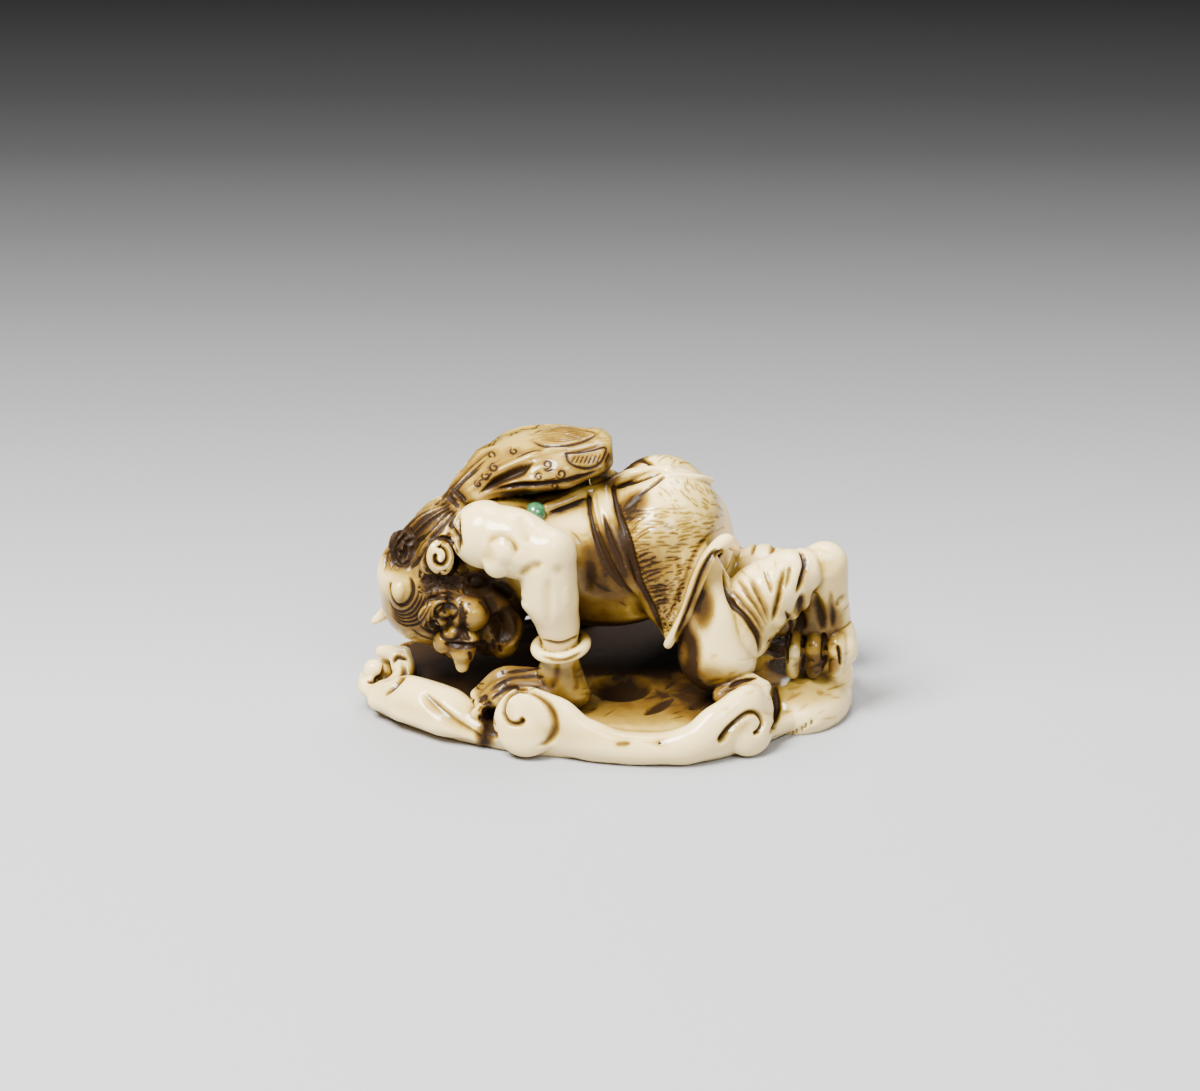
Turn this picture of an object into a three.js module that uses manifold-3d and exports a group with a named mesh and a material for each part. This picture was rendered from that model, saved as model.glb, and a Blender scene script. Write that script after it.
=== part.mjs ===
// An ivory netsuke: a horned wind demon on hands and knees on a curling cloud, its wind bag across its back,
// with one inlaid green bead.
// Millimetres, +Z up. The demon faces -X, its left side is towards -Y, and the origin is the middle of the flat
// underside that the carving stands on.

import * as THREE from "three";
import { mergeVertices } from "three/addons/utils/BufferGeometryUtils.js";
import Module from "manifold-3d";

const wasm = await Module();
wasm.setup();

// ---- driving dimensions ----

const MIDLINE = 1.6; // Y of the demon's spine: it kneels a little behind the middle of the cloud
const FLOOR = 3.0; // top of the cloud, where hands and knees press on it
const SPINE_HEIGHT = 15.8; // Z of the middle of the belly
const TRUNK_RADIUS = 7.6; // the belly, seen along the spine
const HEAD_LENGTH = 15.4; // crown to chin
const BEAD_RADIUS = 1.1;
const BEAD_GAP = 0.3; // clear space all round the bead in its seat
const SEAT = { x: 1.2, y: -3.8, across: 3.1, deep: 2.0 }; // the oval bowl sunk in the cloud, for the cord's knot
const CORD_RADIUS = 1.2; // the hole from the bowl down through the underside

const AROUND = 8; // facets round a limb
const IVORY = new THREE.MeshStandardMaterial({ name: "ivory", color: 0xe6d3a3, roughness: 0.3 });
const GREEN = new THREE.MeshStandardMaterial({ name: "green_bead", color: 0x2f6b42, roughness: 0.2 });

// ---- shaping tools ----

const vec = (p) => new THREE.Vector3(...p);

/** A closed geometry as a manifold-3d solid. */
function solidOf(geometry) {
  const bare = new THREE.BufferGeometry();
  bare.setAttribute("position", geometry.getAttribute("position"));
  bare.setIndex(geometry.getIndex());
  const merged = mergeVertices(bare, 1e-4);
  return new wasm.Manifold(
    new wasm.Mesh({
      numProp: 3,
      vertProperties: new Float32Array(merged.getAttribute("position").array),
      triVerts: new Uint32Array(merged.getIndex().array),
    }),
  );
}

/** A solid back as three.js geometry. */
function geometryOf(solid) {
  const mesh = solid.getMesh();
  const geometry = new THREE.BufferGeometry();
  geometry.setAttribute("position", new THREE.BufferAttribute(mesh.vertProperties, 3));
  geometry.setIndex(new THREE.BufferAttribute(mesh.triVerts, 1));
  geometry.computeVertexNormals();
  return geometry;
}

const union = (solids) => solids.reduce((all, next) => all.add(next));

/** The solid without the pockets that its forms seal in between them. */
function solidThroughout(solid) {
  const bodies = solid.decompose().filter((shell) => shell.volume() > 0);
  if (bodies.length !== 1) throw new Error(`the carving is ${bodies.length} bodies`);
  return bodies[0];
}

/** An ellipsoid with semi-axes radii, turned by turn = [x, y, z] degrees. */
function ball(centre, radii, turn = [0, 0, 0], facets = AROUND) {
  const geometry = new THREE.SphereGeometry(1, facets, Math.ceil(facets * 0.5));
  geometry.scale(...radii);
  const degrees = turn.map(THREE.MathUtils.degToRad);
  geometry.applyMatrix4(new THREE.Matrix4().makeRotationFromEuler(new THREE.Euler(...degrees)));
  geometry.translate(...centre);
  return solidOf(geometry);
}

/** The value of a list at share t of its length, eased between neighbours. */
function along(list, t) {
  const at = t * (list.length - 1);
  const i = Math.min(Math.floor(at), list.length - 2);
  const share = THREE.MathUtils.smoothstep(at - i, 0, 1);
  return THREE.MathUtils.lerp(list[i], list[i + 1], share);
}

/**
 * A round-ended limb that follows a path. widths are its half sizes across the path and up flat, thicknesses its
 * half sizes along up; leaving thicknesses out makes it round.
 */
function limb(path, widths, { thicknesses = widths, up = [0, 0, 1], facets = AROUND, steps = path.length } = {}) {
  const curve = new THREE.CatmullRomCurve3(path.map(vec), false, "catmullrom", 0.5);
  const geometry = new THREE.CapsuleGeometry(1, 2, facets > 7 ? 2 : 1, facets, steps);
  const position = geometry.getAttribute("position");
  for (let i = 0; i < position.count; i++) {
    const x = position.getX(i);
    const y = position.getY(i);
    const z = position.getZ(i);
    const t = THREE.MathUtils.clamp((y + 1) / 2, 0, 1);
    const beyond = y > 1 ? y - 1 : Math.min(y + 1, 0);
    const tangent = curve.getTangent(t);
    const side = new THREE.Vector3().crossVectors(vec(up), tangent).normalize();
    const lift = new THREE.Vector3().crossVectors(tangent, side);
    const width = along(widths, t);
    const thickness = along(thicknesses, t);
    const point = curve
      .getPoint(t)
      .addScaledVector(side, x * width)
      .addScaledVector(lift, -z * thickness)
      .addScaledVector(tangent, beyond * Math.min(width, thickness));
    position.setXYZ(i, point.x, point.y, point.z);
  }
  const solid = solidOf(geometry);
  if (solid.volume() <= 0) throw new Error("a limb is inside out");
  return solid;
}

/** A flat curl like a watch spring, on the plane through centre that across and upward span. */
function curl({ centre, across, upward, outer, inner, turns, start, thick, facets = 6 }) {
  const steps = Math.ceil(turns * 7);
  const out = new THREE.Vector3().crossVectors(vec(across), vec(upward)).normalize();
  const path = [];
  for (let i = 0; i <= steps; i++) {
    const share = i / steps;
    const angle = THREE.MathUtils.degToRad(start) + share * turns * 2 * Math.PI;
    const radius = THREE.MathUtils.lerp(outer, inner, share);
    const point = vec(centre)
      .addScaledVector(vec(across), Math.cos(angle) * radius)
      .addScaledVector(vec(upward), Math.sin(angle) * radius);
    path.push(point.toArray());
  }
  return limb(path, [thick, thick * 0.8], { up: out.toArray(), facets, steps });
}

// ---- the cloud ----

const CLOUD_EDGE = [
  // x, y and the height of the lip, anticlockwise from the right-hand end
  [24.6, 0.5, 4.6],
  [22.6, 6.4, 4.0],
  [18.0, 10.4, 2.8],
  [12.0, 12.8, 3.6],
  [5.0, 12.2, 2.2],
  [-2.0, 13.6, 3.4],
  [-9.0, 13.2, 3.0],
  [-15.5, 11.2, 2.2],
  [-21.2, 7.0, 3.4],
  [-24.4, 1.4, 3.8],
  [-23.4, -3.6, 2.4],
  [-18.6, -8.2, 3.8],
  [-12.6, -11.4, 2.0],
  [-7.0, -14.2, 3.4],
  [-0.5, -14.4, 2.2],
  [4.0, -14.2, 1.7],
  [9.4, -15.6, 2.4],
  [14.6, -13.6, 3.4],
  [18.8, -9.8, 1.8],
  [22.8, -5.2, 3.0],
];

const CLOUD_PROFILE = [
  // share of the way out, share of the lip's height, share of the floor's height
  [0.0, 0, 0],
  [0.8, 0, 0],
  [0.92, 0.12, 0],
  [1.0, 0.52, 0],
  [0.985, 0.86, 0],
  [0.93, 1.0, 0],
  [0.86, 0.82, 0.16],
  [0.74, 0.3, 0.68],
  [0.56, 0, 1],
  [0.0, 0, 1],
];

function cloudSlab() {
  const sectors = 32;
  const edge = new THREE.CatmullRomCurve3(CLOUD_EDGE.map(vec), true, "catmullrom", 0.5);
  const profile = CLOUD_PROFILE.map(([out], row) => new THREE.Vector2(out, row));
  const geometry = new THREE.LatheGeometry(profile, sectors);
  const position = geometry.getAttribute("position");
  const rows = profile.length;
  for (let i = 0; i < position.count; i++) {
    const sector = Math.floor(i / rows) % sectors;
    const [out, lipShare, floorShare] = CLOUD_PROFILE[i % rows];
    const rim = edge.getPoint(sector / sectors);
    position.setXYZ(i, rim.x * out, rim.y * out, rim.z * lipShare + FLOOR * floorShare);
  }
  return solidOf(geometry);
}

function cloud() {
  const toViewer = { across: [1, 0, 0], upward: [0, 0.42, 0.9] };
  return union([
    cloudSlab(),
    // the mound at the right-hand end, under the toes
    ball([18.6, -0.4, 1.4], [6.0, 8.0, 3.7], [0, 4, 0], 12),
    // the front band, sagging between the two front scrolls
    limb(
      [
        [-6.6, -12.0, 5.2],
        [-2.2, -13.2, 3.4],
        [3.0, -13.8, 1.7],
        [8.8, -13.8, 2.2],
        [12.6, -12.2, 3.8],
        [14.4, -9.6, 5.4],
      ],
      [1.6, 1.5, 1.4, 1.7, 1.8, 1.3],
      { steps: 8 },
    ),
    // the left-hand front scroll
    ball([-7.4, -11.6, 3.9], [3.7, 1.9, 3.5], [-24, 0, 0], 12),
    curl({ centre: [-7.6, -13.1, 3.7], ...toViewer, outer: 2.9, inner: 0.4, turns: 1.5, start: 40, thick: 0.75 }),
    // the right-hand front scroll with its small curl on top
    ball([13.4, -11.6, 3.0], [3.3, 1.9, 2.6], [-24, 0, 14], 11),
    curl({ centre: [14.0, -13.1, 2.8], ...toViewer, outer: 1.9, inner: 0.3, turns: 1.0, start: 150, thick: 0.6 }),
    // the leaf-shaped lobe in front of the head
    limb([[-22.6, -4.6, 2.2], [-18.4, -7.0, 2.8], [-13.4, -9.8, 1.6]], [1.5, 2.4, 1.4], {
      thicknesses: [0.9, 1.6, 0.9],
      up: [0, -0.5, 0.85],
      facets: 8,
    }),
    // the rolled tip at the left-hand end
    ball([-23.2, -1.0, 3.9], [1.2, 1.2, 1.2], [0, 0, 0], 8),
    limb([[-20.6, 0.6, 4.6], [-20.6, -2.0, 3.0], [-24.0, -2.4, 2.6]], [1.1, 1.3, 0.9], { facets: 8 }),
    // two plainer scrolls on the far side
    ball([-3.4, 12.4, 3.4], [3.2, 1.8, 2.8], [20, 0, 0], 10),
    ball([11.6, 11.6, 3.4], [2.8, 1.7, 2.5], [20, 0, -14], 10),
  ]);
}

// ---- the demon's trunk and clothes ----

function trunk() {
  return union([
    limb(
      [
        [-11.0, MIDLINE, 17.0],
        [-5.0, MIDLINE, 16.0],
        [0.6, MIDLINE, SPINE_HEIGHT],
        [5.4, MIDLINE, 17.0],
      ],
      [5.6, 7.3, TRUNK_RADIUS, 7.0],
      { facets: 12, steps: 5 },
    ),
    // rump and far hip
    ball([6.0, -0.4, 19.2], [5.5, 6.2, 5.8], [0, 0, 0], 12),
    ball([6.0, 3.8, 19.0], [5.3, 5.8, 5.6], [0, 0, 0], 11),
  ]);
}

/** The fur loincloth over one thigh, with its turned-out hem. side is -1 on the near side, 1 on the far side. */
function skirt(side) {
  const y = (reach) => MIDLINE + side * reach;
  const hemTop = side < 0 ? 17.6 : 13.4; // the far hem hangs lower, behind the far thigh
  return union([
    limb(
      [
        [4.4, y(4.0), 18.4],
        [6.2, y(6.2), 15.0],
        [7.2, y(7.2), 11.6],
      ],
      [4.4, 3.7, 1.9],
      { thicknesses: [4.4, 3.3, 1.6], up: [0, side, 0] },
    ),
    limb(
      [
        [6.6, y(8.0), 9.8],
        [8.6, y(8.8), (9.8 + hemTop) / 2],
        [10.4, y(7.8), hemTop - 0.2],
        [12.2, y(6.0), hemTop],
      ],
      [0.7, 0.8, 0.9, 1.0],
      { facets: 6 },
    ),
  ]);
}

/** A point on the trunk, turned by degrees from its back down towards the near flank, and proud of it. */
function onTrunk(x, degrees, proud = 0) {
  const angle = THREE.MathUtils.degToRad(degrees);
  const reach = TRUNK_RADIUS + proud;
  return [x, MIDLINE - Math.sin(angle) * reach, SPINE_HEIGHT + Math.cos(angle) * reach];
}

function sash() {
  const band = { facets: 6, steps: 3, up: [0, -0.8, 0.5] };
  const farBand = { ...band, up: [0, 0.8, 0.5] };
  return union([
    // the waist tie, in two strands that part and meet again
    limb([onTrunk(-1.2, -4), onTrunk(-0.6, 34), onTrunk(0.6, 66), onTrunk(3.4, 104)], [0.7, 0.8, 0.8, 0.6], band),
    limb([onTrunk(0.2, -4), onTrunk(1.0, 34), onTrunk(2.2, 66), onTrunk(4.0, 104)], [0.7, 0.7, 0.7, 0.6], band),
    // the cord from the bead over the hip
    limb([onTrunk(-6.2, 34), onTrunk(-1.8, 20, 0.2), onTrunk(1.6, 6, 0.6), [5.4, -0.4, 25.0]], [0.7, 0.8, 0.8, 0.7], band),
    // the skirt's waistband
    limb([onTrunk(1.6, 44), [3.2, -2.8, 23.4], [6.4, -1.0, 24.8], [9.2, 1.2, 24.0]], [0.7, 0.8, 0.8, 0.6], band),
    // the waist tie on the far side, in one strand
    limb([onTrunk(-0.6, -4), onTrunk(0.2, -34), onTrunk(1.4, -66), onTrunk(3.6, -104)], [1.0, 1.1, 1.1, 0.8], farBand),
  ]);
}

// ---- arms ----

/** One arm, set akimbo with the palm on the cloud. side is -1 on the near side, 1 on the far side. */
function arm(side) {
  const y = (near) => (side < 0 ? near : 2 * MIDLINE - near);
  const placed = (path) => path.map(([x, ny, z]) => [x, y(ny), z]);
  const finger = (path, width) => limb(placed(path), width, { facets: 6, steps: 3 });
  const shoulder = side < 0 ? 20.8 : 19.0; // the far shoulder hangs lower
  return union([
    ball([-12.4, y(-6.0), shoulder], [3.4, 3.2, 3.4], [0, 0, 0], 10),
    limb(placed([[-12.0, -5.8, shoulder], [-8.8, -7.2, shoulder], [-5.2, -8.4, 20.0]]), [3.1, 3.3, 2.7]),
    limb(placed([[-5.2, -8.4, 20.0], [-5.4, -8.5, 15.6], [-4.7, -8.0, 10.6], [-4.5, -7.8, 8.2]]), [2.6, 2.7, 1.9, 1.8]),
    bracelet(y(-7.9)),
    limb(placed([[-4.5, -7.8, 8.4], [-4.5, -7.9, 4.6]]), [2.0, 2.5], { thicknesses: [1.7, 2.2], up: [0, 1, 0] }),
    finger([[-5.2, -9.0, 4.9], [-8.6, -9.4, 5.2], [-11.8, -9.2, 3.5]], [0.95, 0.8, 0.55]),
    finger([[-5.2, -7.6, 5.3], [-8.8, -7.4, 5.9], [-12.1, -7.2, 3.8]], [0.95, 0.8, 0.55]),
    finger([[-4.8, -6.2, 4.8], [-7.8, -5.4, 5.0], [-10.8, -5.0, 3.6]], [0.9, 0.7, 0.5]),
  ]);
}

function bracelet(y) {
  const ring = new THREE.TorusGeometry(2.25, 0.72, 6, 12);
  ring.applyMatrix4(new THREE.Matrix4().makeRotationFromEuler(new THREE.Euler(0.1, -0.2, 0)));
  ring.translate(-4.6, y, 9.5);
  return solidOf(ring);
}

// ---- legs ----

/** The near leg, kneeling with its toes tucked under. */
function nearLeg() {
  const fold = { facets: 6, steps: 3 };
  const toes = [0, 1, 2, 3, 4].map((n) =>
    limb([[23.4 - 1.45 * n, -2.8 - 0.3 * n, 8.4 - 0.2 * n], [23.2 - 1.5 * n, -3.4 - 0.25 * n, 5.4]], [0.85, 0.65], {
      facets: 6,
      steps: 1,
    }),
  );
  return union([
    limb([[8.0, -3.4, 15.6], [10.0, -5.4, 11.6], [11.0, -6.0, 7.6]], [3.6, 3.5, 3.9]), // thigh and knee
    limb([[12.8, -5.4, 9.2], [16.0, -4.8, 13.0], [18.8, -3.6, 15.4]], [3.3, 3.9, 2.3]), // wrapped calf
    limb([[21.8, -2.2, 16.4], [21.6, -1.8, 12.6], [21.4, -1.8, 8.6]], [2.5, 2.4, 3.3], {
      thicknesses: [2.3, 1.7, 1.6],
      up: [0, 1, 0],
    }), // foot, sole to the back
    limb([[13.0, -8.0, 12.6], [14.4, -8.4, 10.0], [14.8, -7.4, 7.0]], [0.6, 0.8, 0.5], fold),
    limb([[18.9, -3.2, 16.6], [19.2, -5.2, 14.6], [18.6, -5.0, 12.4]], [1.3, 1.2, 0.9], fold),
    ...toes,
  ]);
}

/** The far leg, plainer and with its heel lower. */
function farLeg() {
  return union([
    limb([[8.0, 6.6, 15.0], [10.0, 8.4, 11.0], [11.0, 9.0, 7.2]], [3.6, 3.5, 3.8]),
    limb([[12.4, 8.4, 8.0], [15.6, 7.6, 9.6], [18.6, 6.4, 10.6]], [3.3, 3.7, 2.4]),
    limb([[20.6, 6.0, 11.6], [21.0, 5.8, 8.8], [21.2, 5.8, 5.6]], [2.1, 2.3, 2.7], {
      thicknesses: [2.0, 1.6, 1.3],
      up: [0, 1, 0],
    }),
  ]);
}

// ---- head ----

const HEAD = {
  centre: vec([-15.6, -1.8, 12.8]),
  sideways: vec([-0.38, 0.57, -0.73]).normalize(), // from the near ear to the far ear
  down: vec([0.89, 0.0, -0.46]).normalize(), // from crown to chin
};
HEAD.ahead = new THREE.Vector3().crossVectors(HEAD.sideways, HEAD.down).normalize(); // out through the nose

/** A point of the head, in mm sideways, down the face and ahead of it. */
const onHead = (sideways, down, ahead) =>
  HEAD.centre
    .clone()
    .addScaledVector(HEAD.sideways, sideways)
    .addScaledVector(HEAD.down, down)
    .addScaledVector(HEAD.ahead, ahead)
    .toArray();

/** An ellipsoid whose axes follow the head's own. */
function headBall(at, radii, facets = 8) {
  const geometry = new THREE.SphereGeometry(1, facets, Math.ceil(facets * 0.6));
  const turn = new THREE.Matrix4().makeBasis(HEAD.sideways, HEAD.down, HEAD.ahead);
  geometry.scale(...radii);
  geometry.applyMatrix4(turn.setPosition(...onHead(...at)));
  return solidOf(geometry);
}

function head() {
  const chin = HEAD_LENGTH / 2;
  const small = { facets: 6, steps: 3 };
  return union([
    headBall([0, -1.6, -0.4], [5.0, 6.2, 5.2], 12), // skull
    headBall([0, chin - 4.0, 0.6], [4.2, 4.0, 4.0], 9), // jaw
    headBall([0, chin - 2.2, 3.4], [2.6, 1.9, 1.8], 7), // chin
    headBall([0, 3.0, 5.2], [2.4, 1.7, 2.0], 7), // upper lip
    headBall([0, 1.3, 5.0], [1.6, 1.4, 1.5], 6), // nose
    limb([onHead(-4.4, -1.8, 3.2), onHead(-1.8, -2.5, 4.9), onHead(1.8, -2.5, 4.9), onHead(4.4, -1.8, 3.2)], [0.8, 1.0, 1.0, 0.8], {
      up: HEAD.ahead.toArray(),
      facets: 6,
      steps: 3,
    }), // brow
    ...[-1, 1].flatMap((s) => [
      limb([onHead(s * 2.9, -5.2, 3.2), onHead(s * 3.3, -5.9, 4.9)], [1.45, 0.9], { up: [1, 0, 0], facets: 8 }),
      headBall([s * 2.0, -0.5, 4.0], [1.2, 1.0, 1.1], 6), // eye
      headBall([s * 4.9, 1.2, -1.4], [0.9, 2.0, 1.4], 6), // ear
    ]),
    // neck
    limb([[-13.6, -0.6, 14.4], [-10.4, 0.6, 16.2], [-8.0, 1.2, 16.8]], [4.4, 4.6, 5.2]),
    // two locks that end in curls, and the hair drawn back to the bag's neck
    ball([-20.2, -2.2, 17.2], [1.8, 1.4, 1.9], [0, 0, 0], 8),
    ball([-17.1, -6.1, 17.2], [2.1, 1.4, 2.1], [0, 0, 0], 8),
    limb([[-19.0, -1.2, 17.0], [-17.2, -2.0, 19.6], [-14.6, -2.0, 21.8]], [1.8, 1.6, 1.2], small),
    limb([[-16.8, -4.4, 16.6], [-16.2, -4.4, 19.4], [-14.2, -3.4, 21.6]], [1.8, 1.5, 1.1], small),
    limb([[-19.2, 2.4, 14.8], [-16.6, 2.8, 18.0], [-12.8, 2.4, 20.8]], [2.2, 2.4, 1.7], small),
  ]);
}

// ---- the wind bag ----

function windBag() {
  return union([
    limb(
      [
        [-15.0, -1.4, 23.2],
        [-11.4, 0.6, 24.6],
        [-8.0, MIDLINE, 25.4],
        [-4.6, MIDLINE, 26.0],
        [-1.6, MIDLINE, 26.6],
      ],
      [1.4, 4.3, 5.6, 5.4, 3.8],
      { thicknesses: [0.9, 2.1, 2.6, 2.6, 1.9], facets: 12, steps: 6 },
    ),
    ball([-14.6, -3.0, 23.0], [0.9, 0.8, 0.8], [0, 0, 0], 6), // tie of its neck
  ]);
}

// ---- putting it together ----

const beadAt = onTrunk(-7.1, 36, -0.1);

function carving() {
  const beadSeat = ball(beadAt, Array(3).fill(BEAD_RADIUS + BEAD_GAP), [0, 0, 0], 10);
  const bowl = ball([SEAT.x, SEAT.y, FLOOR + 0.2], [SEAT.across, SEAT.across * 0.76, SEAT.deep], [0, 0, 0], 12);
  const cordHole = new THREE.CylinderGeometry(CORD_RADIUS, CORD_RADIUS, FLOOR * 2, 10);
  cordHole.rotateX(Math.PI / 2);
  cordHole.translate(SEAT.x + 0.8, SEAT.y + 0.6, 0);
  const ground = new THREE.BoxGeometry(80, 60, 10);
  ground.translate(0, 0, -5);
  return [beadSeat, bowl, solidOf(cordHole), solidOf(ground)].reduce(
    (left, cutter) => left.subtract(cutter),
    union([
      cloud(),
      trunk(),
      skirt(-1),
      skirt(1),
      sash(),
      arm(-1),
      arm(1),
      nearLeg(),
      farLeg(),
      head(),
      windBag(),
    ]),
  );
}

function named(name, geometry, material) {
  const mesh = new THREE.Mesh(geometry, material);
  mesh.name = name;
  return mesh;
}

const netsuke = new THREE.Group();
netsuke.add(named("ivory_carving", geometryOf(solidThroughout(carving())), IVORY));

const bead = named("green_bead", new THREE.SphereGeometry(BEAD_RADIUS, 12, 8), GREEN);
bead.position.set(...beadAt);
netsuke.add(bead);

export default netsuke;
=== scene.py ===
"""An ivory netsuke: a horned wind demon, its wind bag on its back, crawling on a curling cloud.

The carving is roughed out on a bench in millimetres as forms of stock, fused and rubbed smooth like a
carver's block, then cut with strokes of the chisel, stained and polished. Only the finished pieces are
brought to metres.
"""

import logging
import math
from dataclasses import dataclass, field
from enum import Enum
from typing import Iterable, Sequence

import bpy
import numpy as np
from mathutils import Euler, Matrix, Vector
from mathutils.bvhtree import BVHTree
from mathutils.kdtree import KDTree


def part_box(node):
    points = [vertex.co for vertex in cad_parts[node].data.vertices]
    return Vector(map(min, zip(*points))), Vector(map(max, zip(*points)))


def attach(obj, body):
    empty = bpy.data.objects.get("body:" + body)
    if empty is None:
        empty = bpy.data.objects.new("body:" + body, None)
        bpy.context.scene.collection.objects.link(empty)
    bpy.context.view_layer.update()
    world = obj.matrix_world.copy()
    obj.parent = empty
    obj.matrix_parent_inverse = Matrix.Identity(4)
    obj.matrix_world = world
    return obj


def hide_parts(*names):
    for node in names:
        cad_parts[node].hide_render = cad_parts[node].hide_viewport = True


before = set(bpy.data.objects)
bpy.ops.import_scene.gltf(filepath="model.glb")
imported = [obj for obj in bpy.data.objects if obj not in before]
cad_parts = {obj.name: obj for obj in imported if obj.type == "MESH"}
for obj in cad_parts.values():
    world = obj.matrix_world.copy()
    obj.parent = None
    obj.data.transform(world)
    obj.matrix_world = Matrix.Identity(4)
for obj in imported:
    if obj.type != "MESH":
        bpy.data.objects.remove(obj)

LOG = logging.getLogger("netsuke")

Point = tuple[float, float, float]
Spot = tuple[float, float]

MM = 0.001  # metres in a millimetre
MIDLINE = 1.6  # Y of the demon's spine
FLOOR = 3.0  # height of the cloud's top where the hands and knees press on it


class Side(Enum):
    """The two flanks of the demon: its left one is near, and its right one is far and plainer."""

    NEAR = 1.0
    FAR = -1.0

    def place(self, point: Point) -> Point:
        """Moves a point of the near flank to this flank.

        Args:
            point: A point on the near flank.

        Returns:
            The same point, or its mirror image across the spine.
        """
        x, y, z = point
        return point if self is Side.NEAR else (x, 2 * MIDLINE - y, z)


# ---------------------------------------------------------------- curves and the bench


def spline(points: Sequence[Sequence[float]], shares: np.ndarray) -> np.ndarray:
    """Follows a smooth curve through points, which it passes at even shares of its run.

    Args:
        points: The points that the curve passes, all with the same number of coordinates.
        shares: Places along the curve, from 0 at its start to 1 at its end.

    Returns:
        One row of coordinates for each share.
    """
    stops = np.asarray(points, float)
    last = len(stops) - 1
    at = np.clip(np.asarray(shares, float), 0.0, 1.0) * last
    i = np.minimum(at.astype(int), last - 1)
    t = (at - i)[:, None]
    padded = np.vstack([2 * stops[:1] - stops[1:2], stops, 2 * stops[-1:] - stops[-2:-1]])
    p0, p1, p2, p3 = (padded[i + k] for k in range(4))
    return 0.5 * (
        2 * p1 + (p2 - p0) * t + (2 * p0 - 5 * p1 + 4 * p2 - p3) * t**2 + (3 * p1 - 3 * p2 + p3 - p0) * t**3
    )


def eased(values: Sequence[float], shares: np.ndarray) -> np.ndarray:
    """Reads a list of sizes at shares of its run, eased between neighbours.

    Args:
        values: Sizes at even steps.
        shares: Places from 0 to 1.

    Returns:
        The size at each place.
    """
    sizes = np.asarray(values, float)
    if len(sizes) == 1:
        return np.full(len(shares), sizes[0])
    at = np.clip(shares, 0.0, 1.0) * (len(sizes) - 1)
    i = np.minimum(at.astype(int), len(sizes) - 2)
    t = at - i
    t = t * t * (3 - 2 * t)
    return sizes[i] * (1 - t) + sizes[i + 1] * t


class Bench:
    """The mesh operators that every piece is worked with, in millimetres."""

    @staticmethod
    def clear() -> None:
        """Leaves nothing selected."""
        if bpy.context.object and bpy.context.object.mode != "OBJECT":
            bpy.ops.object.mode_set(mode="OBJECT")
        bpy.ops.object.select_all(action="DESELECT")

    @staticmethod
    def pick(*pieces: bpy.types.Object) -> None:
        """Selects pieces and makes the first one active.

        Args:
            pieces: The pieces to work on.
        """
        Bench.clear()
        for piece in pieces:
            piece.select_set(True)
        bpy.context.view_layer.objects.active = pieces[0]

    @staticmethod
    def stock(segments: int, rings: int) -> bpy.types.Object:
        """Adds a ball of radius 1 as fresh stock.

        Args:
            segments: Faces round it.
            rings: Faces from pole to pole.

        Returns:
            The new object.
        """
        Bench.clear()
        bpy.ops.mesh.primitive_uv_sphere_add(segments=segments, ring_count=rings, radius=1.0)
        return bpy.context.object

    @staticmethod
    def read(piece: bpy.types.Object) -> np.ndarray:
        """Reads the places of a piece's vertices.

        Args:
            piece: A mesh object.

        Returns:
            One row of three coordinates for each vertex.
        """
        places = np.empty(len(piece.data.vertices) * 3, np.float32)
        piece.data.vertices.foreach_get("co", places)
        return places.reshape(-1, 3).astype(float)

    @staticmethod
    def write(piece: bpy.types.Object, places: np.ndarray) -> None:
        """Moves a piece's vertices.

        Args:
            piece: A mesh object.
            places: One row of three coordinates for each vertex.
        """
        piece.data.vertices.foreach_set("co", places.astype(np.float32).ravel())
        piece.data.update()

    @staticmethod
    def normals(piece: bpy.types.Object) -> np.ndarray:
        """Reads the outward direction at each vertex.

        Args:
            piece: A mesh object.

        Returns:
            One row of three coordinates for each vertex.
        """
        out = np.empty(len(piece.data.vertices) * 3, np.float32)
        piece.data.vertex_normals.foreach_get("vector", out)
        return out.reshape(-1, 3).astype(float)

    @staticmethod
    def modify(piece: bpy.types.Object, kind: str, **settings: object) -> None:
        """Adds a modifier and applies it at once.

        Args:
            piece: The mesh object to work on.
            kind: The modifier's type.
            settings: Its settings.
        """
        Bench.pick(piece)
        bpy.ops.object.modifier_add(type=kind)
        modifier = piece.modifiers[-1]
        for name, value in settings.items():
            setattr(modifier, name, value)
        bpy.ops.object.modifier_apply(modifier=modifier.name)

    @staticmethod
    def fuse(pieces: Sequence[bpy.types.Object], voxel: float, rubs: int, name: str) -> bpy.types.Object:
        """Joins overlapping pieces into one skin and rubs it smooth.

        Args:
            pieces: Closed meshes that overlap.
            voxel: Size of the new skin's faces.
            rubs: How many times it is rubbed.
            name: The joined piece's name.

        Returns:
            The one piece that is left.
        """
        Bench.pick(*pieces)
        if len(pieces) > 1:
            bpy.ops.object.join()
        joined = bpy.context.object
        joined.name = name
        Bench.modify(joined, "REMESH", mode="VOXEL", voxel_size=voxel, adaptivity=0.0)
        if rubs:
            Bench.modify(joined, "SMOOTH", factor=0.5, iterations=rubs)
        return joined


# ---------------------------------------------------------------- forms


@dataclass(frozen=True)
class Ball:
    """A rounded lump."""

    centre: Point
    radii: Point
    turn: Point = (0.0, 0.0, 0.0)  # degrees about X, Y and Z

    def cut(self, side: Side = Side.NEAR) -> bpy.types.Object:
        """Shapes the lump.

        Args:
            side: The flank that it is for.

        Returns:
            A closed mesh.
        """
        piece = Bench.stock(28, 18)
        turn = Euler([math.radians(a) for a in self.turn]).to_matrix()
        shape = Bench.read(piece) * np.array(self.radii) @ np.array(turn).T + np.array(self.centre)
        if side is Side.FAR:
            shape[:, 1] = 2 * MIDLINE - shape[:, 1]
            piece.data.flip_normals()
        Bench.write(piece, shape)
        return piece


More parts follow.
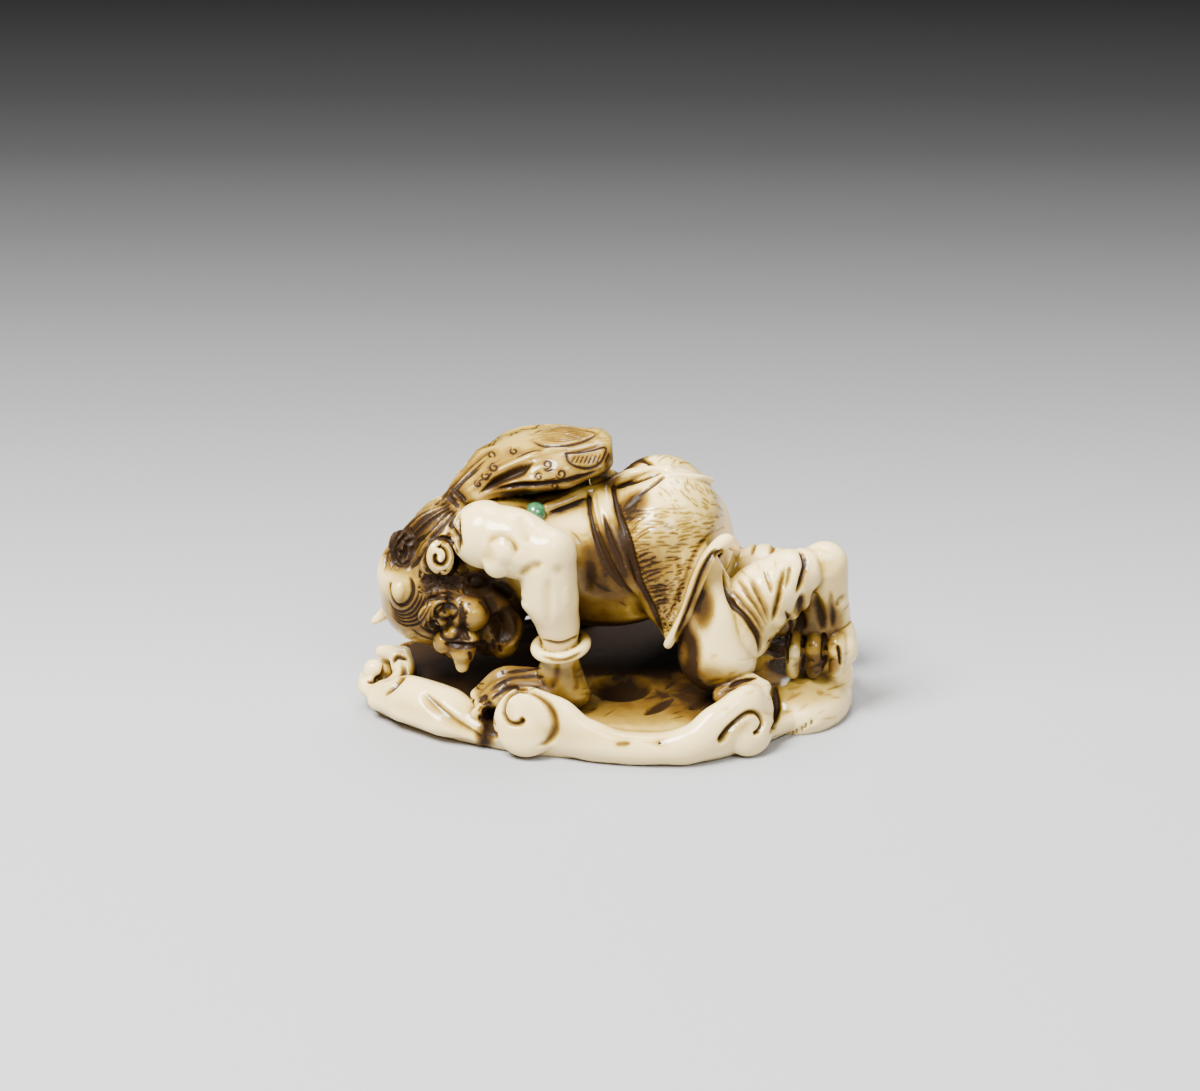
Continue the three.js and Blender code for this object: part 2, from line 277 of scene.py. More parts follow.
@dataclass(frozen=True)
class Limb:
    """A round-ended form that follows a curve.

    widths are its half sizes sideways, and thicknesses its half sizes towards up. Without thicknesses it is
    round.
    """

    path: Sequence[Point]
    widths: Sequence[float]
    thicknesses: Sequence[float] | None = None
    up: Point = (0.0, 0.0, 1.0)
    segments: int = 20

    def cut(self, side: Side = Side.NEAR) -> bpy.types.Object:
        """Bends stock along the curve.

        Args:
            side: The flank that it is for.

        Returns:
            A closed mesh.
        """
        cap = 5
        length = sum(math.dist(a, b) for a, b in zip(self.path, self.path[1:]))
        body = max(6, int(length / 0.35))
        rings = 2 * cap + body
        piece = Bench.stock(self.segments, rings)
        ball = Bench.read(piece)
        ring = np.rint(np.arccos(np.clip(-ball[:, 2], -1, 1)) / math.pi * rings)
        round_angle = np.arctan2(ball[:, 1], ball[:, 0])
        share = np.clip((ring - cap) / body, 0.0, 1.0)
        lean = np.where(ring < cap, ring / cap,
                        np.where(ring > rings - cap, (rings - ring) / cap, 1.0)) * math.pi / 2
        girth = np.sin(lean)
        beyond = np.cos(lean) * np.where(ring < cap, -1.0, np.where(ring > rings - cap, 1.0, 0.0))
        points = [side.place(p) for p in self.path]
        middle = spline(points, share)
        step = 0.004
        tangent = spline(points, np.minimum(share + step, 1.0)) - spline(points,
                                                                         np.maximum(share - step, 0.0))
        tangent /= np.linalg.norm(tangent, axis=1, keepdims=True)
        up = np.array(self.up) * (1.0, side.value, 1.0)
        across = np.cross(up, tangent)
        across /= np.linalg.norm(across, axis=1, keepdims=True)
        lift = np.cross(tangent, across)
        width = eased(self.widths, share)
        thick = eased(self.thicknesses or self.widths, share)
        shape = (
            middle
            + across * (np.cos(round_angle) * girth * width)[:, None]
            + lift * (np.sin(round_angle) * girth * thick)[:, None]
            + tangent * (beyond * np.minimum(width, thick))[:, None]
        )
        Bench.write(piece, shape)
        return piece


@dataclass(frozen=True)
class Ring:
    """A closed hoop."""

    centre: Point
    radius: float
    thickness: float
    turn: Point = (0.0, 0.0, 0.0)

    def cut(self, side: Side = Side.NEAR) -> bpy.types.Object:
        """Shapes the hoop.

        Args:
            side: The flank that it is for.

        Returns:
            A closed mesh.
        """
        Bench.clear()
        bpy.ops.mesh.primitive_torus_add(
            major_radius=self.radius, minor_radius=self.thickness, major_segments=48, minor_segments=14
        )
        piece = bpy.context.object
        turn = Euler([math.radians(a) for a in self.turn]).to_matrix()
        shape = Bench.read(piece) @ np.array(turn).T + np.array(self.centre)
        if side is Side.FAR:
            shape[:, 1] = 2 * MIDLINE - shape[:, 1]
            piece.data.flip_normals()
        Bench.write(piece, shape)
        return piece


Form = Ball | Limb | Ring


@dataclass(frozen=True)
class Block:
    """Forms that are fused together before the rest, with how finely and how soft."""

    name: str
    forms: Sequence[Form]
    voxel: float
    rubs: int
    side: Side = Side.NEAR

    def rough_out(self) -> bpy.types.Object:
        """Cuts and fuses the forms.

        Returns:
            One closed mesh.
        """
        voxel = self.voxel * 1.0
        return Bench.fuse([form.cut(self.side) for form in self.forms], voxel, self.rubs, self.name)


# ---------------------------------------------------------------- the chisel


@dataclass(frozen=True)
class Board:
    """A drawing board: strokes laid out on it are carried along the line of sight onto the carving."""

    across: Vector
    upward: Vector
    look: Vector
    eye: Vector | None = None  # without one, the lines of sight are parallel
    start: Point = (0.0, 0.0, 0.0)  # what its middle shows
    reach: float = 60.0  # how far in front of its middle the lines of sight begin

    def sight(self, spot: Spot) -> tuple[Vector, Vector]:
        """Finds the line of sight through a spot of the board.

        Args:
            spot: Across and up on the board.

        Returns:
            Where the line begins and its direction.
        """
        point = Vector(self.start) + self.across * spot[0] + self.upward * spot[1]
        if self.eye is None:
            return point - self.look * self.reach, self.look
        return self.eye, (point - self.eye).normalized()


@dataclass(frozen=True)
class Stroke:
    """One pass of the chisel along a path, or a dab where the path is a single spot."""

    path: Sequence[Spot]
    width: float | Sequence[float] = 0.3  # half width
    depth: float | Sequence[float] = 0.15  # a negative depth raises a ridge
    ink: float = 0.5  # stain left at its bottom
    lean: float = 0.0  # above 0 the wall on the right of the way is the gentle one, below 0 the left
    sharp: float = 1.5
    taper: float = 0.28  # share of its run in which it fades in, and out
    spread: float = 1.35  # width of the stain against that of the stroke
    halo: float = 0.35  # how much fainter stain runs out beside it


@dataclass(frozen=True)
class Wash:
    """A cloud of tone or stain, or of painted shade, around a point."""

    centre: Point
    radii: Point
    tone: float = 0.0
    # stain also carries painted shade where a cloud lies under the figure
    stain: float = 0.0


def between(one: Sequence[Spot], other: Sequence[Spot], share: float) -> list[Spot]:
    """Draws a path between two others.

    Args:
        one: The first guide.
        other: The second guide, with as many spots.
        share: 0 on the first guide and 1 on the second.

    Returns:
        The path between them.
    """
    return [(a[0] + (b[0] - a[0]) * share, a[1] + (b[1] - a[1]) * share) for a, b in zip(one, other)]


def comb(one: Sequence[Spot], other: Sequence[Spot], count: int, **cut: object) -> list[Stroke]:
    """Draws strokes side by side from one guide to another.

    Args:
        one: The first guide.
        other: The last guide, with as many spots.
        count: How many strokes.
        cut: How each is cut.

    Returns:
        The strokes.
    """
    return [Stroke(between(one, other, i / max(1, count - 1)), **cut) for i in range(count)]


def coil(centre: Spot, radii: Spot, turns: float, start: float, core: float = 0.2,
         steps: int = 22) -> list[Spot]:
    """Draws a spiral from its outer end to its core.

    Args:
        centre: Its middle.
        radii: Its outer half sizes, across and up.
        turns: How often it goes round, below 0 for clockwise.
        start: Where it begins, in degrees from the right.
        core: Size of its inner end against its outer one.
        steps: How many spots it takes.

    Returns:
        The path.
    """
    path = []
    for i in range(steps + 1):
        share = i / steps
        angle = math.radians(start) + share * turns * 2 * math.pi
        size = 1 - (1 - core) * share
        path.append((centre[0] + math.cos(angle) * radii[0] * size,
                     centre[1] + math.sin(angle) * radii[1] * size))
    return path


def loop(centre: Spot, radii: Spot, start: float = 0.0, sweep: float = 360.0,
         steps: int = 16) -> list[Spot]:
    """Draws an arc of an oval.

    Args:
        centre: Its middle.
        radii: Its half sizes, across and up.
        start: Where it begins, in degrees from the right.
        sweep: How far it goes round, in degrees.
        steps: How many spots it takes.

    Returns:
        The path.
    """
    return [
        (centre[0] + math.cos(a) * radii[0], centre[1] + math.sin(a) * radii[1])
        for a in (math.radians(start + sweep * i / steps) for i in range(steps + 1))
    ]


class Chisel:
    """Cuts strokes into the carving's skin and remembers the stain that they hold."""

    cell = 0.6  # size of the boxes that the skin's points are sorted into
    bleed = 0.7  # how far the halo of a stained stroke runs beyond it

    def __init__(self, carving: bpy.types.Object) -> None:
        """Takes up a carving.

        Args:
            carving: The piece to cut.
        """
        self.carving = carving
        self.rng = np.random.default_rng(7)
        self.ink = np.zeros(len(carving.data.vertices))
        self.halo = np.zeros(len(carving.data.vertices))
        self.count = 0
        self.look_over()

    def look_over(self) -> None:
        """Reads the skin as it now is."""
        self.places = Bench.read(self.carving)
        self.out = Bench.normals(self.carving)
        self.tree = BVHTree.FromObject(self.carving, bpy.context.evaluated_depsgraph_get())
        self.low = self.places.min(axis=0) - 1.0
        cells = ((self.places - self.low) / self.cell).astype(np.int64)
        self.size = cells.max(axis=0) + 4
        keys = self.key(cells)
        self.order = np.argsort(keys, kind="stable")
        self.keys = keys[self.order]
        self.cuts = np.zeros(len(self.places))
        self.rises = np.zeros(len(self.places))

    def key(self, cells: np.ndarray) -> np.ndarray:
        """Numbers the boxes.

        Args:
            cells: Rows of three box coordinates.

        Returns:
            One number for each row.
        """
        return cells[:, 0] + self.size[0] * (cells[:, 1] + self.size[1] * cells[:, 2])

    def settle(self) -> None:
        """Moves the skin by all the strokes since it was last looked over."""
        self.places += self.out * (self.rises - self.cuts)[:, None]
        self.places[:, 2] = np.maximum(self.places[:, 2], 0.0)
        Bench.write(self.carving, self.places)
        self.look_over()

    def near(self, points: np.ndarray, reach: float) -> np.ndarray:
        """Finds the skin's points around a path.

        Args:
            points: Points of the path.
            reach: How far from it to look.

        Returns:
            Their numbers.
        """
        around = int(math.ceil(reach / self.cell))
        steps = np.arange(-around, around + 1)
        offsets = np.stack(np.meshgrid(steps, steps, steps, indexing="ij"), -1).reshape(-1, 3)
        cells = np.unique(((points - self.low) / self.cell).astype(np.int64), axis=0)
        wanted = np.unique(self.key((cells[:, None, :] + offsets[None]).reshape(-1, 3)))
        first = np.searchsorted(self.keys, wanted, "left")
        last = np.searchsorted(self.keys, wanted, "right")
        runs = [self.order[a:b] for a, b in zip(first, last) if b > a]
        return np.concatenate(runs) if runs else np.empty(0, np.int64)

    def project(self, board: Board,
                path: Sequence[Spot]) -> list[tuple[np.ndarray, np.ndarray, np.ndarray]]:
        """Carries a path onto the skin.

        Args:
            board: The board that it is drawn on.
            path: Its spots.

        Returns:
            For each unbroken run on the skin, its points, its normals and its shares of the path.
        """
        if len(path) == 1:
            spots, shares = np.array(path, float), np.array([0.5])
        else:
            length = sum(math.dist(a, b) for a, b in zip(path, path[1:]))
            shares = np.linspace(0, 1, max(3, int(length / 0.12)))
            spots = spline(path, shares)
        runs, points, normals, kept, previous = [], [], [], [], None
        for spot, share in zip(spots, shares):
            origin, direction = board.sight(tuple(spot))
            hit, normal, _, _ = self.tree.ray_cast(origin, direction)
            tries = 0
            while hit is not None and normal.dot(direction) > 0 and tries < 4:
                hit, normal, _, _ = self.tree.ray_cast(hit + direction * 0.01, direction)
                tries += 1
            if hit is not None and previous is not None and (hit - previous).length > 1.1:
                runs.append((points, normals, kept))
                points, normals, kept = [], [], []
            previous = hit
            if hit is not None:
                points.append(hit)
                normals.append(normal)
                kept.append(share)
        runs.append((points, normals, kept))
        return [(np.array(p), np.array(n), np.array(k)) for p, n, k in runs if len(p)]

    def cut(self, board: Board, strokes: Iterable[Stroke]) -> None:
        """Cuts strokes.

        Args:
            board: The board that they are drawn on.
            strokes: The strokes.
        """
        for stroke in strokes:
            self.count += 1
            for points, normals, shares in self.project(board, stroke.path):
                self.drag(stroke, points, normals, shares)

    def drag(self, stroke: Stroke, points: np.ndarray, normals: np.ndarray, shares: np.ndarray) -> None:
        """Drags one stroke along a run of points on the skin.

        Args:
            stroke: How it is cut.
            points: The run's points.
            normals: The skin's directions there.
            shares: The run's shares of the stroke.
        """
        widths = eased(np.atleast_1d(stroke.width), shares)
        depths = eased(np.atleast_1d(stroke.depth), shares)
        if len(stroke.path) > 1 and stroke.taper > 0:
            ends = np.clip(np.minimum(shares, 1 - shares) / stroke.taper, 0, 1)
            depths = depths * ends * (2 - ends)
            widths = widths * (0.55 + 0.45 * ends)
        reach = max(widths.max() * (1 + abs(stroke.lean)) * stroke.spread, widths.max() + self.bleed)
        found = self.near(points, reach)
        if not len(found):
            return
        for batch in np.array_split(found, max(1, len(found) * len(points) // 2_000_000)):
            gap = self.places[batch][:, None, :] - points[None]
            nearest = np.argmin((gap**2).sum(axis=2), axis=1)
            gap = gap[np.arange(len(batch)), nearest]
            apart = np.linalg.norm(gap, axis=1)
            width = widths[nearest]
            if len(points) > 1:
                way = np.gradient(points, axis=0)
                way /= np.maximum(np.linalg.norm(way, axis=1, keepdims=True), 1e-9)
                along = (gap * way[nearest]).sum(axis=1)
                inner = (nearest > 0) & (nearest < len(points) - 1)
                apart = np.where(inner, np.sqrt(np.maximum(apart**2 - along**2, 0)), apart)
                if stroke.lean:
                    right = np.cross(way, normals)[nearest]
                    side = np.sign((gap * right).sum(axis=1))
                    width = width * (1 + stroke.lean * side)
            facing = (self.out[batch] * normals[nearest]).sum(axis=1) > -0.2
            q = apart / np.maximum(width, 1e-6)
            shape = np.where(q < 1, (1 - np.minimum(q, 1)) ** stroke.sharp * (1 + stroke.sharp * q),
                             0) * facing
            depth = depths[nearest] * shape
            np.maximum.at(self.cuts, batch, depth)
            np.maximum.at(self.rises, batch, -depth)
            if stroke.ink:
                q = apart / np.maximum(width * stroke.spread, 1e-6)
                strength = np.clip(np.abs(depths[nearest]) / max(1e-6, np.abs(depths).max()), 0, 1)
                stain = 0.7 * stroke.ink * strength * np.clip(1 - q * q, 0, 1) ** 2 * facing
                beside = np.clip(1 - apart / (width + self.bleed), 0,
                                 1) ** 1.5 * stroke.halo * stroke.ink * strength
                self.ink[batch] = np.maximum(self.ink[batch], stain)
                self.halo[batch] = np.maximum(self.halo[batch], beside * facing)


class Patina:
    """Stain gathered in the hollows, painted shade where the carving is shut in, honey tone over the worn
    ivory and the polish on its high places.
    """

    # how far the skin is rubbed down to find each size of hollow, the depth in millimetres that holds all
    # of its stain, and how strong that stain is
    hollows = ((5, 0.04, 0.16), (40, 0.14, 0.34), (260, 0.4, 0.3))
    shut_from, shut_span, shut_stain = 0.35, 0.6, 0.5  # how shut in a place is where painted shade begins to darken it
    worn_height = (0.12, 0.5)  # how far middle and broad swellings stand out where they are polished bare
    worn = 0.6  # how bare each of them gets

    def __init__(self, carving: bpy.types.Object, ink: np.ndarray) -> None:
        """Takes up a carving that has been cut.

        Args:
            carving: The carving.
            ink: The stain that the chisel's strokes hold.
        """
        self.carving = carving
        self.ink = ink
        self.places = Bench.read(carving)
        self.out = Bench.normals(carving)

    def hollow(self, rubs: int) -> np.ndarray:
        """Measures how far the skin lies below its own rubbed-down shape.

        Args:
            rubs: How far it is rubbed down: more finds wider hollows.

        Returns:
            Depth in millimetres, negative on high places.
        """
        copy = self.carving.copy()
        copy.data = self.carving.data.copy()
        bpy.context.scene.collection.objects.link(copy)
        Bench.modify(copy, "SMOOTH", factor=0.5, iterations=rubs)
        depth = ((Bench.read(copy) - self.places) * self.out).sum(axis=1)
        bpy.data.meshes.remove(copy.data)
        return depth

    def shade(self, voxel: float = 0.5, rays: int = 36, reach: float = 26.0) -> np.ndarray:
        """Measures how shut in each place is, which sets the painted shade.

        Args:
            voxel: How coarse a copy is measured.
            rays: How many ways are tried from each place.
            reach: How far away a wall still counts.

        Returns:
            0 in the open and 1 where it is shut in.
        """
        copy = self.carving.copy()
        copy.data = self.carving.data.copy()
        bpy.context.scene.collection.objects.link(copy)
        Bench.modify(copy, "REMESH", mode="VOXEL", voxel_size=voxel, adaptivity=0.0)
        places, out = Bench.read(copy), Bench.normals(copy)
        tree = BVHTree.FromObject(copy, bpy.context.evaluated_depsgraph_get())
        ways = np.random.default_rng(3).normal(size=(rays, 3))
        ways /= np.linalg.norm(ways, axis=1, keepdims=True)
        shut = np.zeros(len(places))
        for i, (place, normal) in enumerate(zip(places, out)):
            tilted = ways + normal * 1.02
            tilted /= np.linalg.norm(tilted, axis=1, keepdims=True)
            start = Vector(place + normal * 0.12)
            for way in tilted.tolist():
                far = tree.ray_cast(start, way, reach)[3]
                if far is not None:
                    shut[i] += 1 - (far / reach) ** 2
        shut /= rays
        kd = KDTree(len(places))
        for i, place in enumerate(places):
            kd.insert(place, i)
        kd.balance()
        result = np.empty(len(self.places))
        for i, (place, normal) in enumerate(zip(self.places, self.out)):
            total, weight = 0.0, 0.0
            for _, j, apart in kd.find_n(place, 3):
                share = (0.05 + max(0.0, float(out[j] @ normal))) / (apart + 0.05)
                total += share * shut[j]
                weight += share
            result[i] = total / weight
        bpy.data.meshes.remove(copy.data)
        return result

    def wash(self, washes: Iterable[Wash]) -> tuple[np.ndarray, np.ndarray]:
        """Lays clouds of tone, and of stain with painted shade.

        Args:
            washes: The clouds.

        Returns:
            The tone and the stain at each of the skin's points.
        """
        tone, stain = np.zeros(len(self.places)), np.zeros(len(self.places))
        for cloud in washes:
            gap = (self.places - np.array(cloud.centre)) / np.array(cloud.radii)
            share = np.clip((1 - np.sqrt((gap**2).sum(axis=1))) / 0.5, 0, 1)
            share = share * share * (3 - 2 * share)
            tone = np.maximum(tone, share * cloud.tone)
            stain = np.maximum(stain, share * cloud.stain)
        return tone, stain

    def lay(self, washes: Iterable[Wash]) -> None:
        """Stores stain with painted shade, tone and wear on the carving.

        Args:
            washes: Clouds of tone and stain.
        """
        depths = [self.hollow(rubs) for rubs, _, _ in self.hollows]
        shut = self.shade(rays=36)
        tone, washed_stain_and_shade = self.wash(washes)
        stain = sum(
            np.clip(depth / full, 0, 1) * strength for depth,
            (_, full, strength) in zip(depths, self.hollows)
        )
        # painted shade: darker where the carving is shut in, under the belly, under the head and between the
        # limbs
        stain = stain + np.clip((shut - self.shut_from) / self.shut_span, 0, 1) * self.shut_stain
        stain = stain + self.ink + washed_stain_and_shade
        wear = sum(np.clip(-depth / full, 0, 1) * self.worn for depth,
                   full in zip(depths[1:], self.worn_height))
        # the layer named stain holds the painted shade as well as the stain
        for name, values in (("stain", stain), ("tone", tone), ("wear", wear)):
            layer = self.carving.data.attributes.new(name, "FLOAT", "POINT")
            layer.data.foreach_set("value", np.clip(values, 0, 2).astype(np.float32))


@dataclass(frozen=True)
class Boards:
    """The boards that the carving is drawn on."""

    near: Board  # the near side, as the eye sees it
    far: Board  # the same from the other side
    top: Board
    rear: Board

    @classmethod
    def around(cls, eye: Vector, look: Vector, upward: Vector) -> "Boards":
        """Sets up the boards.

        Args:
            eye: Where the near side is looked at from.
            look: The way it is looked at.
            upward: Up on that board.

        Returns:
            The boards.
        """
        x = Vector((1, 0, 0))
        near = Board(x, upward, look, eye)
        flipped = Vector((look.x, -look.y, look.z))
        far = Board(x, Vector((0, -upward.y, upward.z)), flipped,
                    Vector((eye.x, 2 * MIDLINE - eye.y, eye.z)), (0, 2 * MIDLINE, 0))
        top = Board(x, Vector((0, 1, 0)), Vector((0, 0, -1)))
        rear = Board(Vector((0, 1, 0)), Vector((0, 0, 1)), Vector((-1, 0, 0)))
        return cls(near, far, top, rear)


# ---------------------------------------------------------------- the cloud


@dataclass(frozen=True)
class Cloud:
    """The curling cloud that the demon crawls on."""

    edge: Sequence[Point] = (
        # x, y and the height of the lip, anticlockwise from the right-hand end
        (24.6, 0.5, 4.4),
        (22.6, 6.4, 4.0),
        (18.0, 10.4, 2.8),
        (12.0, 12.8, 3.6),
        (5.0, 12.6, 3.4),
        (-2.0, 13.6, 3.4),
        (-9.0, 13.2, 3.0),
        (-15.5, 11.2, 2.2),
        (-21.2, 7.0, 3.4),
        (-24.2, 1.4, 3.4),
        (-23.6, -3.4, 2.4),
        (-18.8, -7.8, 3.6),
        (-13.6, -10.6, 2.4),
        (-8.0, -12.8, 3.4),
        (-1.5, -14.0, 2.6),
        (4.0, -14.8, 2.6),
        (10.0, -14.4, 2.6),
        (14.4, -12.0, 3.4),
        (18.3, -8.3, 2.6),
        (22.6, -3.8, 3.4),
    )
    profile: Sequence[Point] = (
        # share of the way out, share of the lip's height, share of the floor's height
        (0.0, -0.18, 0.0),
        (0.5, -0.18, 0.0),
        (0.86, -0.18, 0.0),
        (0.955, 0.08, 0.0),
        (1.0, 0.48, 0.0),
        (0.985, 0.84, 0.0),
        (0.93, 1.0, 0.0),
        (0.86, 0.84, 0.14),
        (0.76, 0.34, 0.66),
        (0.6, 0.0, 1.0),
        (0.3, 0.0, 1.0),
        (0.0, 0.0, 1.0),
    )

    def slab(self) -> bpy.types.Object:
        """Shapes the body of the cloud from its outline and its profile.

        Returns:
            A closed mesh that is flat below.
        """
        segments, rings = 160, 44
        piece = Bench.stock(segments, rings)
        ball = Bench.read(piece)
        down_up = np.arccos(np.clip(-ball[:, 2], -1, 1)) / math.pi
        round_share = (np.arctan2(ball[:, 1], ball[:, 0]) / (2 * math.pi)) % 1.0
        closed = list(self.edge[-1:]) + list(self.edge) + list(self.edge[:2])
        count = len(self.edge)
        rim = spline(closed, (round_share * count + 1) / (len(closed) - 1))
        section = spline(self.profile, down_up)
        shape = np.column_stack(
            [rim[:, 0] * section[:, 0], rim[:, 1] * section[:, 0],
             rim[:, 2] * section[:, 1] + FLOOR * section[:, 2]]
        )
        Bench.write(piece, shape)
        return piece

    def rough_out(self) -> list[bpy.types.Object]:
        """Shapes the slab and what curls out of it.

        Returns:
            The cloud's closed meshes.
        """
        upright = (0.0, 0.0, 1.0)
        front = Block(
            "cloud_front",
            (
                # the wall that sags between the two front scrolls
                Limb(
                    (
                        (-8.2, -11.6, 3.8),
                        (-5.4, -12.2, 3.3),
                        (-2.2, -13.0, 2.2),
                        (1.4, -13.6, 1.6),
                        (5.0, -13.8, 1.6),
                        (8.0, -13.6, 1.9),
                        (11.0, -12.4, 2.9),
                        (13.4, -11.0, 3.6),
                        (14.8, -9.6, 3.4),
                    ),
                    (1.5, 1.5, 1.5, 1.5, 1.6, 1.7, 1.8, 1.8, 1.5),
                    (3.5, 3.2, 2.2, 1.7, 1.6, 2.0, 2.9, 3.4, 2.6),
                    upright,
                    segments=28,
                ),
                Ball((-8.0, -12.0, 3.6), (3.3, 1.5, 3.5), (-24.0, 0.0, -6.0)),
                Ball((13.6, -11.4, 3.0), (2.9, 1.6, 3.2), (-24.0, 0.0, 28.0)),
                # the roll on top of the right-hand scroll
                Limb(((11.0, -10.0, 5.4), (13.2, -8.6, 6.3), (15.4, -8.4, 5.6)), (1.0, 1.3, 0.9),
                     (0.8, 1.0, 0.7)),
            ),
            0.22,
            6,
        )
        left = Block(
            "cloud_left",
            (
                # the leaf-shaped lobe in front of the head
                Limb(
                    ((-22.8, -3.6, 2.2), (-19.8, -5.6, 2.9), (-16.0, -8.0, 2.7), (-12.4, -10.2, 1.9)),
                    (1.5, 2.5, 2.6, 1.5),
                    (1.1, 1.7, 1.7, 1.2),
                    (0.0, -0.7, 0.7),
                ),
                # the rolled tip at the left-hand end
                Ball((-23.3, -1.0, 3.9), (1.1, 1.1, 1.1)),
                Limb(
                    ((-20.4, 0.8, 4.8), (-20.2, -1.6, 3.6), (-21.6, -3.0, 2.6), (-23.8, -2.4, 2.5),
                     (-24.2, -0.6, 2.8)),
                    (0.8, 1.2, 1.2, 1.0, 0.7),
                ),
                Limb(((-22.6, 1.6, 4.6), (-21.2, 0.6, 4.8), (-21.0, -1.0, 4.0)), (0.7, 0.9, 0.6)),
            ),
            0.2,
            4,
        )
        mounds = Block(
            "cloud_mounds",
            (
                Ball((18.4, -0.4, 1.2), (6.1, 7.9, 3.7), (0.0, 2.0, 0.0)),
                Ball((-3.4, 12.2, 3.4), (3.2, 1.8, 2.8), (20.0, 0.0, 0.0)),
                Ball((11.6, 11.4, 3.4), (2.8, 1.7, 2.5), (20.0, 0.0, -14.0)),
            ),
            0.3,
            2,
        )
        return [self.slab(), front.rough_out(), left.rough_out(), mounds.rough_out()]

    def shape(self, chisel: Chisel, boards: Boards) -> None:
        """Cuts the scrolls and the hollows.

        Args:
            chisel: The tool.
            boards: What the strokes are drawn on.
        """
        left_scroll = Stroke(
            (
                (-8.3, -1.75), (-8.9, -2.35), (-9.9, -2.2), (-10.5, -1.1), (-10.1, 0.2), (-8.9, 0.95),
                (-7.5, 0.75),
                (-6.3, -0.1), (-5.45, -1.5), (-5.3, -3.0), (-6.0, -4.2), (-7.2, -4.7),
            ),
            (0.5, 0.42, 0.34, 0.34, 0.36, 0.4, 0.45, 0.5, 0.6, 0.6, 0.5, 0.3),
            (0.75, 0.55, 0.45, 0.45, 0.45, 0.45, 0.5, 0.55, 0.6, 0.5, 0.3, 0.1),
            0.34, taper=0.05, sharp=1.2, spread=1.6,
        )
        right_scroll = Stroke(
            (
                (14.5, -3.4), (15.1, -3.1), (15.45, -2.2), (15.0, -1.4), (14.1, -1.3), (13.1, -2.0),
                (12.0, -3.1),
                (11.1, -4.4),
            ),
            (0.3, 0.35, 0.35, 0.35, 0.42, 0.48, 0.55, 0.6),
            (0.4, 0.5, 0.45, 0.45, 0.5, 0.55, 0.6, 0.6),
            0.4, taper=0.05, sharp=1.2, spread=1.6,
        )
        shading = [
            Stroke(((-10.0, 0.0), (-10.1, -1.3), (-9.3, -2.3)), 0.8, 0.05, 0.24, spread=1.2),
            Stroke(((-6.0, -0.2), (-5.4, -1.6), (-5.3, -3.0), (-6.2, -4.2)), 1.0, 0.08, 0.26, spread=1.2),
            Stroke(((14.4, -1.8), (13.2, -2.6), (12.0, -3.6), (11.2, -4.4)), 0.9, 0.05, 0.24, spread=1.2),
        ]
        lobes = [
            Stroke(((-18.4, 0.9), (-16.9, -0.5), (-14.9, -2.2), (-12.4, -3.8)), 0.9, 0.45, 0.25, 0.6),
            Stroke(((-21.8, -0.4), (-19.8, -1.5), (-17.2, -2.6)), 1.2, 0.15, 0.0),
            Stroke(((-12.6, 0.5), (-12.0, -0.8), (-11.7, -2.4), (-11.0, -3.9)), 0.8, 0.4, 0.8, sharp=1.1),
            Stroke(((16.7, 1.6), (16.9, -0.4), (16.8, -2.2), (16.2, -3.6)), 0.6, 0.4, 0.5, 0.3),
            # the tip at the left-hand end
            Stroke(((-24.2, 1.9), (-23.4, 1.9), (-22.6, 2.5), (-22.4, 3.5)), 0.4, 0.5, 0.85),
            Stroke(((-22.4, 0.4), (-21.2, 1.5), (-20.4, 2.6), (-20.7, 3.9)), 0.5, 0.35, 0.5),
            Stroke(((-21.7, 3.6), (-21.0, 4.3), (-20.0, 4.0)), 0.35, 0.3, 0.8),
        ]
        bowl = [
            Stroke(((1.35, 1.2),), 3.1, 1.1, 0.6, sharp=0.8, spread=1.0, halo=0.3),
            Stroke(((3.6, -1.5), (5.0, -0.8), (6.6, 0.2)), (0.5, 0.8, 0.5), 0.4, 0.4),
            Stroke(((8.2, -1.0), (9.2, -0.4), (10.6, 0.6)), (0.5, 0.7, 0.5), 0.4, 0.4),
        ]
        roll = [Stroke(((12.0, 1.3), (13.3, 1.95), (15.1, 2.3)), 0.3, 0.35, 0.8, 0.3)]
        chisel.cut(boards.near, [*bowl, *roll])
        for board in (boards.near, boards.far):
            chisel.cut(board, [left_scroll, right_scroll, *shading, *lobes])

    def lines(self, chisel: Chisel, boards: Boards) -> None:
        """Cuts the fine lines and nicks.

        Args:
            chisel: The tool.
            boards: What the strokes are drawn on.
        """
        rng = chisel.rng
        streaks = []
        for _ in range(90):
            x, h = rng.uniform(-4, 23), rng.uniform(-2.0, 4.6)
            run = rng.uniform(0.6, 2.2)
            slope = rng.normal(0.35, 0.2)
            streaks.append(
                Stroke(((x, h), (x + run * 0.5, h + run * slope * 0.5), (x + run, h + run * slope)),
                       rng.uniform(0.12, 0.3), rng.uniform(0.02, 0.05), rng.uniform(0.08, 0.3), taper=0.45)
            )
        nicks = []
        for i in range(9):
            x = 16.6 + i * 0.45 + rng.uniform(-0.15, 0.15)
            h = -3.7 + 0.03 * i + 0.02 * i * i
            nicks.append(Stroke(((x, h - 0.4), (x + 0.15, h + 0.25)), 0.22, 0.2, 0.1))
        marks = [
            Stroke(((0.6, -4.4), (1.5, -4.4), (2.4, -4.35)), 0.3, 0.06, 0.5, taper=0.3),
            Stroke(((5.2, -4.3),), 0.16, 0.15, 1.3),
            Stroke(((-12.6, -0.6), (-12.2, -1.3), (-11.9, -2.2)), 0.7, 0.1, 0.9),
        ]
        pits = [
            Stroke(((rng.uniform(-12.9, -11.2), rng.uniform(-2.6, 0.4)),), rng.uniform(0.15, 0.3),
                   rng.uniform(0.08, 0.22), 0.7)
            for _ in range(40)
        ]
        chisel.cut(boards.near, streaks + nicks + marks + pits)

